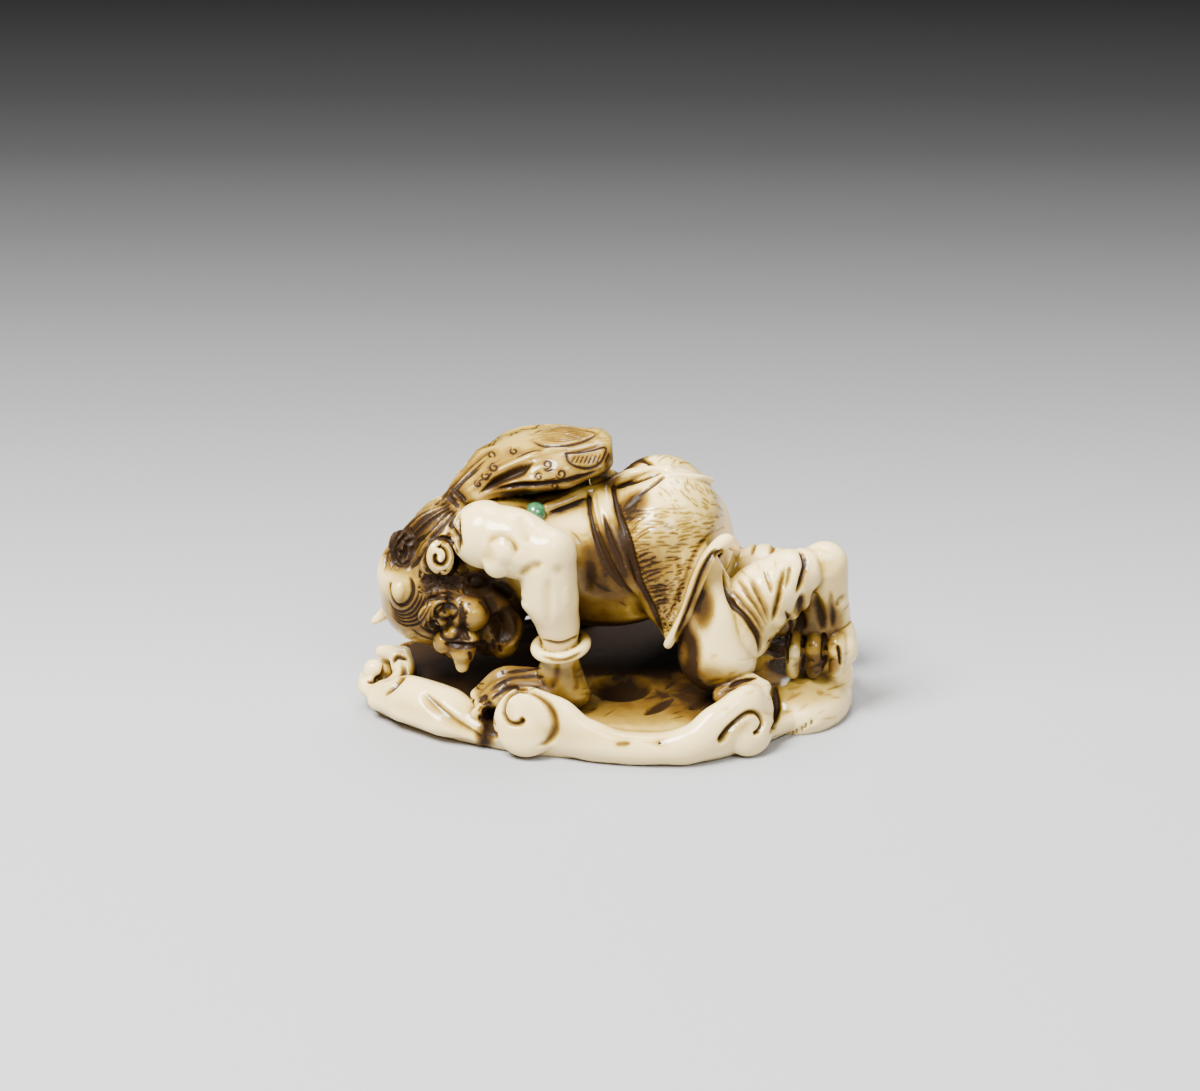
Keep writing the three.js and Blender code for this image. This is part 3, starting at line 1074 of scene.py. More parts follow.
    def washes(self) -> list[Wash]:
        """Lists the stains of the cloud and the shade painted on it under the figure.

        Returns:
            Clouds of tone and stain.
        """
        return [
            Wash((0.0, 0.0, 3.2), (27.0, 17.0, 2.6), 0.85, 0.0),
            # stain under the belly, under the far leg and under the head: painted shade as well as stain
            Wash((1.0, 7.4, 3.0), (14.0, 9.0, 3.0), 0.8, 1.1),
            Wash((12.0, 6.0, 3.0), (8.0, 6.0, 2.6), 0.6, 0.7),
            Wash((-15.0, 2.0, 3.0), (8.6, 9.0, 3.0), 0.8, 1.0),
            Wash((18.6, -2.0, 4.6), (4.2, 2.4, 1.6), 0.8, 0.25),
            Wash((-12.0, -10.6, 1.6), (1.4, 1.8, 2.2), 0.8, 0.5),
            Wash((20.0, 4.0, 5.0), (6.0, 7.0, 2.6), 0.6, 0.2),
            Wash((18.4, -4.0, 4.0), (6.0, 5.0, 3.0), 0.55, 0.0),
        ]


# ---------------------------------------------------------------- the demon


@dataclass(frozen=True)
class Trunk:
    """Belly, chest, rump and the fur loincloth."""

    height: float = 15.8
    radius: float = 7.6

    def on(self, x: float, degrees: float, proud: float = 0.0) -> Point:
        """Finds a point on the trunk.

        Args:
            x: Place along the spine.
            degrees: Turn from the back down towards the near flank.
            proud: How far out of the skin it stands.

        Returns:
            The point.
        """
        angle, reach = math.radians(degrees), self.radius + proud
        return (x, MIDLINE - math.sin(angle) * reach, self.height + math.cos(angle) * reach)

    def rough_out(self) -> list[bpy.types.Object]:
        """Shapes the trunk, then the loincloth over each thigh.

        Returns:
            The closed meshes.
        """
        body = Block(
            "trunk",
            (
                Limb(
                    (
                        (-11.6, MIDLINE, 16.8),
                        (-6.0, MIDLINE, 16.1),
                        (0.4, MIDLINE, self.height),
                        (5.6, MIDLINE, 17.0),
                    ),
                    (5.4, 7.2, self.radius, 7.0),
                    segments=36,
                ),
                Ball((6.1, -0.2, 19.6), (5.3, 6.0, 5.7)),
                Ball((6.1, 3.4, 18.2), (5.1, 5.6, 5.2)),
                Ball((-9.6, -1.8, 19.6), (4.0, 4.4, 3.4)),
                Ball((-9.6, 5.0, 19.0), (4.0, 4.4, 3.4)),
                # neck
                Limb(((-13.6, -0.6, 14.4), (-10.4, 0.6, 16.2), (-8.0, 1.2, 16.8)), (4.2, 4.6, 5.2)),
            ),
            0.3,
            10,
        )
        pieces = [body.rough_out()]
        for side in Side:
            pieces += self.loincloth(side)
        hems = [piece for piece in pieces if piece.name.startswith("hem")]
        hips = Bench.fuse([piece for piece in pieces if piece not in hems], 0.28, 14, "trunk_and_fur")
        return [hips, *hems]

    def loincloth(self, side: Side) -> list[bpy.types.Object]:
        """Shapes the fur over one thigh, and its turned-out hem.

        Args:
            side: The flank that it is for.

        Returns:
            Two closed meshes.
        """
        fur = Limb(
            ((5.2, -2.0, 19.2), (5.7, -3.6, 15.8), (6.2, -5.2, 12.4), (6.3, -6.2, 10.2)),
            (5.2, 4.1, 2.5, 1.0),
            (5.0, 4.1, 2.5, 1.0),
            (0.0, -1.0, 0.0),
            segments=28,
        )
        near_hem = (
            (5.9, -7.0, 9.6),
            (7.5, -8.0, 13.2),
            (8.7, -7.8, 16.8),
            (9.9, -6.8, 19.0),
            (11.4, -5.4, 20.0),
            (12.4, -4.2, 19.0),
        )
        far_hem = ((5.9, -7.0, 9.4), (7.6, -7.8, 11.4), (9.2, -7.2, 13.0), (11.6, -5.2, 13.8),
                   (12.6, -3.8, 13.2))
        hem = Limb(
            near_hem if side is Side.NEAR else far_hem,
            (0.5, 0.62, 0.7, 0.75, 0.8, 0.6),
            (0.5, 0.62, 0.7, 0.75, 0.8, 0.6),
        )
        return [
            Block(f"fur_{side.name.lower()}", (fur,), 0.25, 4, side).rough_out(),
            Block(f"hem_{side.name.lower()}", (hem,), 0.16, 2, side).rough_out(),
        ]

    seam: Sequence[Spot] = ((1.1, 18.9), (1.9, 16.2), (3.05, 11.9), (4.4, 9.1), (5.6, 6.4))
    edge: Sequence[Spot] = ((11.0, 19.4), (10.2, 16.3), (8.3, 12.5), (7.2, 9.4), (6.1, 6.6))

    def shape(self, chisel: Chisel, boards: Boards) -> None:
        """Cuts the belly's folds and the edges of the loincloth.

        Args:
            chisel: The tool.
            boards: What the strokes are drawn on.
        """
        folds = [
            Stroke(((0.9, 19.2), (1.9, 16.2), (3.05, 11.9), (4.4, 9.1), (5.7, 6.0)), 0.5, 0.4, 0.9, -0.3),
            Stroke(((6.6, 5.8), (7.6, 8.2), (8.6, 10.6), (9.3, 12.6), (10.3, 14.5), (11.1, 15.2)), 0.5,
                   0.45, 0.9, 0.2),
            Stroke(((11.0, 15.0), (11.3, 14.2)), 0.7, 0.8, 1.0),
            Stroke(((5.2, 6.6), (6.5, 9.2), (7.5, 11.6), (8.5, 14.2), (9.9, 16.4), (11.2, 17.1)), 0.35,
                   0.12, 0.25),
            Stroke(((-2.2, 16.2), (-2.0, 13.5), (-2.1, 10.5)), 1.0, 0.2, 0.2),
            Stroke(((1.3, 18.7), (3.6, 20.8), (6.0, 22.6)), 0.35, 0.3, 0.7),
        ]
        for board in (boards.near, boards.far):
            chisel.cut(board, folds)

    def lines(self, chisel: Chisel, boards: Boards) -> None:
        """Cuts the fur and the creases of the skin.

        Args:
            chisel: The tool.
            boards: What the strokes are drawn on.
        """
        rng = chisel.rng
        strokes = []
        rows, columns = 40, 5
        for row in range(rows):
            down = (row + rng.uniform(-0.3, 0.3)) / rows
            start = spline(self.seam, np.array([down]))[0]
            end = spline(self.edge, np.array([down]))[0]
            for column in range(columns):
                begin = max(0.0, (column + rng.uniform(-0.45, 0.45)) / columns)
                finish = min(1.0, begin + rng.uniform(0.6, 1.1) / columns)
                tilt = rng.normal(0.0, 0.12)
                a = start + (end - start) * begin
                b = start + (end - start) * finish + (0, tilt + 0.12)
                upper = max(0.0, 1 - down / 0.35)
                strength = 1 - 0.75 * upper * (column / (columns - 1))
                strokes.append(
                    Stroke((tuple(a), tuple((a + b) / 2 + (0, 0.06)), tuple(b)), 0.13, 0.07 * strength,
                           rng.uniform(0.15, 0.5) * strength, taper=0.4)
                )
        # longer hairs that fan out of the dark seam
        for i in range(26):
            down = i / 26 * 0.75
            a = spline(self.seam, np.array([down]))[0] + (rng.uniform(0.1, 0.5), 0)
            turn = math.radians(62 - 80 * down + rng.normal(0, 7))
            run = rng.uniform(1.6, 3.4)
            b = a + (math.cos(turn) * run, math.sin(turn) * run * 0.75)
            strokes.append(Stroke((tuple(a), tuple((a + b) / 2 + (0, 0.1)), tuple(b)), 0.14, 0.09,
                                  rng.uniform(0.3, 0.7), taper=0.4))
        # hairs over the rump
        for _ in range(70):
            x, h = rng.uniform(4.5, 11.0), rng.uniform(16.8, 22.3)
            turn = math.radians(18 - (h - 17) * 16 + rng.normal(0, 9))
            run = rng.uniform(0.5, 1.3)
            strokes.append(Stroke(((x, h), (x + math.cos(turn) * run, h + math.sin(turn) * run)), 0.13,
                                  0.05,
                                  rng.uniform(0.1, 0.4), taper=0.4))
        cracks = [
            Stroke(((-3.9, 17.0), (-3.0, 16.2), (-2.6, 15.2)), 0.12, 0.04, 0.3, taper=0.4),
            Stroke(((-1.6, 12.0), (-0.6, 11.2), (0.6, 10.8)), 0.14, 0.04, 0.3, taper=0.4),
            Stroke(((1.0, 9.9), (2.0, 9.3)), 0.14, 0.04, 0.3, taper=0.4),
        ]
        for board in (boards.near, boards.far):
            chisel.cut(board, strokes + cracks)

    def washes(self) -> list[Wash]:
        """Lists the stains of the trunk and the shade painted under its belly.

        Returns:
            Clouds of tone and stain.
        """
        washes = []
        for side in Side:
            washes += [
                Wash(side.place((0.5, -4.6, 17.0)), (3.6, 4.6, 6.6), 0.8, 0.35),
                Wash(side.place((4.0, -6.4, 15.0)), (3.4, 4.4, 7.0), 0.6, 0.16),
                Wash(side.place((6.4, -4.4, 17.6)), (7.0, 6.4, 7.6), 0.45, 0.0),
                Wash(side.place((8.4, -2.0, 21.6)), (4.4, 4.0, 4.4), 0.3, 0.0),
                Wash(side.place((-2.6, -4.4, 13.6)), (6.4, 6.0, 8.4), 0.72, 0.1),
                Wash(side.place((2.4, -3.2, 22.6)), (2.6, 2.6, 2.6), 0.6, 0.45),
            ]
        # darker under the belly: painted shade, with some stain
        washes.append(Wash((0.0, MIDLINE, 8.4), (13.0, 9.0, 4.0), 0.6, 0.8))
        return washes


@dataclass(frozen=True)
class Ties:
    """The sash, the cord that the bead is threaded on and the loincloth's waistband."""

    trunk: Trunk

    def rough_out(self) -> list[bpy.types.Object]:
        """Shapes the ties on the near flank, and a plainer sash on the far one.

        Returns:
            The closed meshes.
        """
        on = self.trunk.on
        lean = (0.0, -0.8, 0.55)
        sash = Limb(
            (on(-1.0, -8, 0.1), on(-0.8, 12, 0.3), on(-0.2, 40, 0.2), on(0.8, 62), on(2.2, 84),
             on(3.8, 106, -0.4)),
            (1.0, 1.05, 1.0, 1.0, 0.9, 0.6),
            (0.5, 0.55, 0.5, 0.5, 0.5, 0.5),
            lean,
        )
        cord = Limb(
            (on(-6.0, 33, 0.1), on(-3.6, 25, 0.15), on(-0.6, 12, 0.3), on(2.4, 2, 0.8), (5.9, 0.2, 25.1)),
            (0.6, 0.62, 0.6, 0.6, 0.6),
            (0.6, 0.6, 0.6, 0.6, 0.6),
            lean,
        )
        waistband = Limb(
            (on(1.0, 46), on(2.8, 24, 0.4), (5.6, -1.2, 25.0), (8.6, -0.4, 24.6), (10.2, 1.6, 23.4)),
            (0.35, 0.4, 0.4, 0.4, 0.35),
        )
        far_sash = Limb(
            (on(-0.8, -4, 0.1), on(0.0, -34), on(1.2, -62), on(2.6, -84), on(3.8, -106, -0.4)),
            (0.9, 1.0, 1.0, 0.9, 0.6),
            (0.5, 0.5, 0.5, 0.5, 0.5),
            (0.0, 0.8, 0.5),
        )
        return [
            Block("sash", (sash,), 0.15, 1).rough_out(),
            Block("cord", (cord,), 0.15, 1).rough_out(),
            Block("waistband", (waistband,), 0.15, 1).rough_out(),
            Block("far_sash", (far_sash,), 0.2, 1).rough_out(),
        ]

    def shape(self, chisel: Chisel, boards: Boards) -> None:
        """Parts the sash into two strands and cuts under its edges.

        Args:
            chisel: The tool.
            boards: What the strokes are drawn on.
        """
        strokes = [
            Stroke(((-0.55, 18.9), (0.1, 16.6), (0.9, 14.6), (1.9, 12.2)), (0.2, 0.34, 0.34, 0.25), 0.3,
                   0.75),
            Stroke(((-1.95, 21.2), (-1.75, 18.8), (-1.05, 16.0), (0.1, 13.4), (1.5, 11.2)), 0.3, 0.25, 0.85,
                   0.3),
            Stroke(((0.5, 21.8), (0.8, 19.6), (1.55, 16.6), (2.5, 13.2), (3.2, 10.9)), 0.3, 0.25, 0.9,
                   -0.3),
            Stroke(((-6.0, 18.7), (-4.0, 19.4), (-2.1, 20.2)), 0.35, 0.3, 0.85, 0.3),
            Stroke(((0.7, 21.2), (3.0, 21.9), (5.4, 22.8)), 0.35, 0.3, 0.9, 0.3),
            Stroke(((-1.9, 21.4), (-0.6, 21.9), (0.4, 22.3)), 0.2, 0.12, 0.4),
        ]
        chisel.cut(boards.near, strokes)

    def lines(self, chisel: Chisel, boards: Boards) -> None:
        """Cuts the fine creases of the ties.

        Args:
            chisel: The tool.
            boards: What the strokes are drawn on.
        """
        chisel.cut(
            boards.near,
            [
                Stroke(((-1.2, 20.9), (-1.0, 19.2), (-0.5, 17.2)), 0.12, 0.04, 0.25, taper=0.4),
                Stroke(((1.6, 22.1), (3.4, 22.6), (5.0, 23.2)), 0.12, 0.04, 0.2, taper=0.4),
                Stroke(((-5.6, 19.6), (-4.3, 20.0), (-3.0, 20.5)), 0.12, 0.03, 0.2, taper=0.4),
            ],
        )

    def washes(self) -> list[Wash]:
        """Lists the stains around the ties."""
        return [Wash((-8.6, -3.4, 21.9), (1.3, 1.4, 1.2), 0.9, 0.5)]


@dataclass(frozen=True)
class Arm:
    """One arm, bent at the elbow, with its palm pressed on the cloud."""

    side: Side

    def rough_out(self) -> list[bpy.types.Object]:
        """Shapes the arm, its hand and its bracelet.

        Returns:
            The closed meshes.
        """
        drop = 0.0 if self.side is Side.NEAR else -1.8  # the far shoulder hangs lower
        flesh = Block(
            "arm",
            (
                Ball((-12.0, -5.9, 21.0 + drop), (3.4, 3.3, 3.4)),
                Limb(
                    ((-11.6, -5.9, 20.9 + drop), (-9.3, -6.9, 20.6 + drop / 2), (-6.2, -8.1, 19.7)),
                    (3.3, 3.5, 3.0),
                ),
                Ball((-10.7, -9.0, 19.4 + drop), (1.5, 1.3, 1.6), (0.0, 20.0, 0.0)),
                Ball((-5.9, -8.4, 20.0), (2.9, 2.7, 2.9)),
                Limb(
                    ((-6.0, -8.2, 19.6), (-5.6, -8.5, 15.6), (-4.95, -8.3, 12.7), (-4.7, -8.0, 10.3),
                     (-4.7, -7.9, 8.4)),
                    (2.9, 2.8, 2.25, 1.75, 1.85),
                ),
                Limb(((-6.9, -9.0, 17.4), (-7.2, -9.0, 15.5), (-6.2, -8.9, 13.2)), (0.9, 1.45, 0.8)),
            ),
            0.2,
            9,
            self.side,
        )
        hand = Block(
            "hand",
            (
                Limb(
                    ((-4.7, -7.9, 8.6), (-4.7, -8.0, 6.8), (-4.3, -8.1, 5.0)),
                    (1.9, 2.3, 2.5),
                    (1.7, 1.9, 2.0),
                    (0.0, 1.0, 0.0),
                ),
                Ball((-3.6, -8.3, 4.9), (1.9, 1.8, 1.6)),
                Ball((-6.0, -8.2, 5.3), (1.9, 2.0, 1.2)),
            ),
            0.18,
            5,
            self.side,
        )
        fingers = Block(
            "fingers",
            (
                Limb(((-6.0, -7.6, 6.2), (-8.6, -7.6, 6.6), (-10.6, -7.8, 6.5), (-13.0, -8.0, 4.6)),
                     (0.9, 0.8, 0.85, 0.6)),
                Limb(((-6.0, -8.6, 5.8), (-8.4, -8.8, 6.1), (-10.4, -8.9, 5.9), (-12.6, -9.1, 4.2)),
                     (0.9, 0.8, 0.85, 0.6)),
                Limb(((-6.2, -9.4, 5.2), (-8.8, -9.8, 5.4), (-10.8, -9.9, 5.1), (-12.9, -10.0, 3.5)),
                     (0.9, 0.8, 0.8, 0.6)),
                Limb(((-6.0, -6.6, 5.4), (-8.2, -6.2, 5.7), (-9.8, -6.0, 5.4), (-11.6, -5.8, 3.9)),
                     (0.8, 0.7, 0.75, 0.5)),
            ),
            0.14,
            2,
            self.side,
        )
        bracelet = Block(
            "bracelet",
            (Ring((-4.64, -7.9, 9.9), 2.46, 0.58, (4.0, -8.0, 0.0)),),
            0.14,
            1,
            self.side,
        )
        return [flesh.rough_out(), hand.rough_out(), fingers.rough_out(), bracelet.rough_out()]

    def shape(self, chisel: Chisel, boards: Boards) -> None:
        """Cuts the muscles.

        Args:
            chisel: The tool.
            boards: What the strokes are drawn on.
        """
        strokes = [
            Stroke(((-12.1, 15.1), (-11.7, 16.0), (-10.8, 16.4), (-9.8, 16.0), (-9.3, 15.1), (-9.4, 14.2)),
                   (0.5, 0.65, 0.65, 0.65, 0.65, 0.5), (0.1, 0.24, 0.22, 0.26, 0.3, 0.15), 0.22,
                   spread=1.1),
            Stroke(((-10.7, 14.5),), 1.3, -0.3, 0.0),
            Stroke(((-8.6, 18.6), (-8.3, 17.0), (-7.9, 15.6)), 1.1, 0.22, 0.06),
            Stroke(((-8.9, 12.4), (-7.8, 13.2), (-6.4, 13.7)), 0.7, 0.25, 0.14),
            Stroke(((-5.95, 12.2), (-6.05, 9.9), (-6.0, 7.4)), 0.85, 0.2, 0.07),
            Stroke(((-4.9, 13.0),), 0.9, 0.16, 0.05),
            Stroke(((-5.2, 15.9),), 1.9, -0.2, 0.0),
            Stroke(((-4.2, 11.4), (-4.0, 9.4)), 0.7, -0.12, 0.0),
            Stroke(((-6.9, 6.1), (-4.7, 5.7), (-2.6, 6.6)), 0.35, 0.2, 0.55),
            Stroke(((-6.9, 4.4), (-4.5, 3.9), (-2.3, 4.9)), 0.35, 0.2, 0.55),
        ]
        hand = [
            Stroke(((-6.6, 3.2), (-8.4, 3.0), (-10.2, 2.7)), 0.25, 0.2, 0.4),
            Stroke(((-6.3, 2.3), (-8.4, 2.3), (-10.0, 2.1), (-11.9, 0.9)), 0.28, 0.3, 0.6),
            Stroke(((-6.6, 1.2), (-8.6, 1.2), (-10.4, 1.0), (-12.2, -0.4)), 0.28, 0.3, 0.6),
            Stroke(((-3.4, 3.8), (-3.1, 2.2), (-3.0, 1.0)), 0.6, 0.12, 0.08),
            Stroke(((-5.0, 3.8), (-5.2, 2.2), (-5.6, 1.0)), 0.6, 0.14, 0.08),
        ]
        board = boards.near if self.side is Side.NEAR else boards.far
        chisel.cut(board, strokes + hand)

    def lines(self, chisel: Chisel, boards: Boards) -> None:
        """Cuts nails, knuckles and creases.

        Args:
            chisel: The tool.
            boards: What the strokes are drawn on.
        """
        strokes = [
            Stroke(loop((-12.7, 1.35), (0.42, 0.3), 30, 250), 0.12, 0.08, 0.7),
            Stroke(loop((-12.5, 0.0), (0.42, 0.3), 30, 250), 0.12, 0.08, 0.7),
            Stroke(((-10.6, 3.1), (-10.4, 2.5)), 0.14, 0.07, 0.5),
            Stroke(((-10.3, 1.9), (-10.2, 1.3)), 0.14, 0.07, 0.5),
            Stroke(((-8.4, 3.1), (-8.3, 2.6)), 0.12, 0.05, 0.3),
        ]
        board = boards.near if self.side is Side.NEAR else boards.far
        chisel.cut(board, strokes)

    def washes(self) -> list[Wash]:
        """Lists the stains of the arm.

        Returns:
            Clouds of tone and stain.
        """
        place = self.side.place
        return [
            Wash(place((-4.4, -8.2, 5.4)), (4.4, 4.2, 4.6), 0.8, 0.1),
            Wash(place((-9.6, -8.4, 5.6)), (5.0, 3.4, 3.0), 0.75, 0.12),
            Wash(place((-10.6, -7.0, 16.4)), (3.4, 3.6, 1.6), 0.35, 0.0),
            Wash(place((-11.4, -9.4, 20.6)), (1.2, 1.6, 1.2), 0.3, 0.0),
        ]


@dataclass(frozen=True)
class NearLeg:
    """The near leg: knee on the cloud, calf wrapped in cloth, foot up on its toes."""

    def rough_out(self) -> list[bpy.types.Object]:
        """Shapes the thigh, the wrapped calf and the foot.

        Returns:
            The closed meshes.
        """
        thigh = Block(
            "thigh",
            (
                Limb(
                    ((6.0, -3.0, 19.0), (8.4, -4.4, 15.4), (10.2, -5.6, 11.4), (10.9, -6.0, 8.0)),
                    (3.6, 3.2, 3.6, 3.9),
                ),
                Ball((10.7, -6.2, 8.3), (3.9, 3.6, 4.0)),
            ),
            0.25,
            8,
        )
        calf = Block(
            "calf",
            (
                Limb(
                    ((13.2, -5.4, 10.4), (15.0, -5.0, 13.6), (17.6, -4.2, 15.6), (19.0, -3.6, 16.0)),
                    (3.2, 3.5, 2.8, 2.3),
                ),
                Ball((18.9, -4.4, 15.2), (1.5, 1.7, 1.9)),
                Limb(((18.8, -5.0, 15.4), (18.9, -5.3, 13.8), (18.3, -5.2, 12.2)), (1.1, 1.1, 0.7)),
            ),
            0.2,
            5,
        )
        foot = Block(
            "foot",
            (
                Limb(
                    ((21.3, -2.4, 16.2), (21.4, -2.2, 13.6), (21.2, -2.0, 10.6), (21.2, -2.2, 8.2)),
                    (2.4, 2.35, 2.8, 3.5),
                    (2.3, 2.0, 1.7, 1.5),
                    (0.0, 1.0, 0.0),
                    segments=28,
                ),
                Ball((23.4, -2.6, 6.9), (1.4, 1.5, 1.9)),
            ),
            0.2,
            6,
        )
        toes = Block(
            "toes",
            tuple(
                Limb(
                    (
                        (x + 0.1, -2.6 - reach, 8.8),
                        (x, -4.0 - reach, 7.9),
                        (x, -4.3 - reach, 6.6),
                        (x - 0.1, -4.3 - reach, 5.4),
                    ),
                    (0.8, 0.92, 0.8, 0.74),
                )
                for x, reach in ((18.3, 0.3), (20.4, 0.1), (22.6, -0.1))
            ),
            0.14,
            2,
        )
        tongue = Block("tongue", (Ball((17.2, -3.4, 10.4), (1.4, 1.2, 1.7), (0.0, 20.0, 0.0)),), 0.2, 0)
        return [part.rough_out() for part in (thigh, calf, foot, toes, tongue)]

    def shape(self, chisel: Chisel, boards: Boards) -> None:
        """Cuts the pleats of the leg wrap, its cuff and the parting of the toes.

        Args:
            chisel: The tool.
            boards: What the strokes are drawn on.
        """
        strokes = [
            # where the wrap meets the knee
            Stroke(((11.5, 13.4), (11.7, 11.4), (12.3, 9.6), (13.7, 8.1), (14.9, 6.2), (15.1, 4.4)), 0.45,
                   0.4, 0.9, -0.4),
            # pleats
            Stroke(((12.2, 11.0), (13.2, 9.7), (14.6, 8.2), (15.6, 6.5)), 0.45, 0.28, 0.4, -0.5),
            Stroke(((12.8, 12.2), (13.8, 10.6), (15.0, 8.9), (15.9, 7.2)), 0.45, 0.26, 0.36, -0.5),
            Stroke(((14.0, 12.4), (14.7, 10.8), (15.5, 9.2), (16.1, 7.6)), 0.5, 0.3, 0.36, -0.5),
            Stroke(((15.5, 13.2), (16.0, 11.8), (16.4, 10.6)), 0.4, 0.2, 0.28, -0.4),
            Stroke(((17.7, 13.4), (17.4, 11.4), (17.0, 9.4), (16.4, 7.8)), 0.5, 0.34, 0.4, 0.3),
            # the cuff
            Stroke(((19.1, 15.0), (19.6, 13.6), (19.3, 12.2), (18.8, 10.6)), 0.45, 0.5, 0.95, -0.4),
            Stroke(((18.2, 13.6), (18.0, 12.2), (17.8, 11.0)), 0.4, 0.25, 0.3),
            # the dark recess behind the wrap
            Stroke(((16.3, 5.6), (16.9, 5.0), (17.3, 4.2)), 0.9, 0.5, 1.1, sharp=1.0),
            Stroke(((17.7, 9.0), (18.4, 7.4), (17.6, 6.2), (16.6, 6.3)), 0.35, 0.3, 0.8),
            Stroke(((17.2, 7.8),), 0.9, -0.3, 0.0),
        ]
        foot = [
            Stroke(((19.3, 3.2), (19.4, 4.8), (19.6, 6.6)), 0.42, 0.7, 1.1, sharp=1.1),
            Stroke(((21.4, 3.1), (21.5, 4.9), (21.6, 6.8)), 0.42, 0.7, 1.1, sharp=1.1),
            Stroke(((17.9, 3.6), (17.8, 5.2), (18.3, 7.0)), 0.4, 0.5, 1.0),
            Stroke(((23.3, 3.4), (23.2, 4.6), (22.9, 5.6)), 0.3, 0.4, 0.9),
            Stroke(((20.6, 11.0), (21.2, 8.8), (21.6, 7.0)), 0.7, 0.3, 0.28),
            Stroke(((22.2, 11.0), (22.5, 9.0), (22.5, 7.2)), 0.5, 0.18, 0.2),
            Stroke(((19.4, 10.8), (19.2, 8.8), (19.6, 7.0)), 0.7, 0.3, 0.3),
            Stroke(((23.9, 10.5), (23.2, 10.0), (22.8, 9.2)), 0.6, 0.25, 0.1),
            Stroke(((22.0, 13.6),), 1.3, 0.16, 0.05),
        ]
        chisel.cut(boards.near, strokes + foot)

    def lines(self, chisel: Chisel, boards: Boards) -> None:
        """Cuts toenails, knuckles and the fine creases of the cloth.

        Args:
            chisel: The tool.
            boards: What the strokes are drawn on.
        """
        strokes = []
        for x, h in ((18.45, 3.7), (20.3, 3.5), (22.5, 3.6)):
            strokes += [
                Stroke(loop((x, h), (0.36, 0.5), 20, 140), 0.12, 0.06, 0.3),
                Stroke(((x - 0.3, h + 1.9), (x, h + 2.0), (x + 0.3, h + 1.9)), 0.14, 0.05, 0.25),
            ]
        for a, b in (
            ((13.0, 13.2), (14.4, 12.0)),
            ((14.8, 13.9), (15.4, 12.6)),
            ((13.4, 10.9), (14.9, 9.4)),
            ((16.6, 14.2), (16.8, 13.0)),
            ((12.6, 10.2), (14.0, 8.8)),
            ((16.9, 12.4), (16.7, 11.0)),
            ((14.9, 10.6), (15.5, 9.4)),
        ):
            strokes.append(Stroke((a, b), 0.12, 0.04, 0.2, taper=0.4))
        strokes += [
            Stroke(((20.0, 14.8), (21.4, 15.0), (22.4, 14.4)), 0.3, 0.03, 0.12, taper=0.4),
        ]
        rng = chisel.rng
        for _ in range(36):
            spot = (rng.uniform(16.0, 17.9), rng.uniform(3.4, 6.2))
            strokes.append(Stroke((spot,), rng.uniform(0.12, 0.22), rng.uniform(0.1, 0.25), 1.2))
        chisel.cut(boards.near, strokes)

    def washes(self) -> list[Wash]:
        """Lists the stains of the near leg.

        Returns:
            Clouds of tone and stain.
        """
        return [
            Wash((8.0, -7.6, 8.0), (1.9, 3.4, 6.5), 0.9, 0.4),
            Wash((10.0, -8.6, 4.8), (5.0, 4.6, 5.2), 0.85, 0.12),
            Wash((9.3, -7.0, 13.6), (1.7, 3.0, 3.2), 0.8, 0.45),
            Wash((16.4, -5.0, 9.6), (2.6, 3.0, 2.6), 0.7, 0.25),
            Wash((20.6, -3.6, 10.0), (3.6, 3.6, 4.2), 0.85, 0.12),
            Wash((21.6, -3.0, 15.0), (3.6, 3.6, 3.6), 0.25, 0.0),
            Wash((20.6, -5.2, 6.2), (3.0, 2.4, 2.2), 0.85, 0.35),
            Wash((19.0, -4.4, 13.8), (1.6, 2.6, 2.6), 0.7, 0.2),
            Wash((14.8, -6.0, 12.6), (4.6, 4.6, 4.6), 0.35, 0.0),
        ]


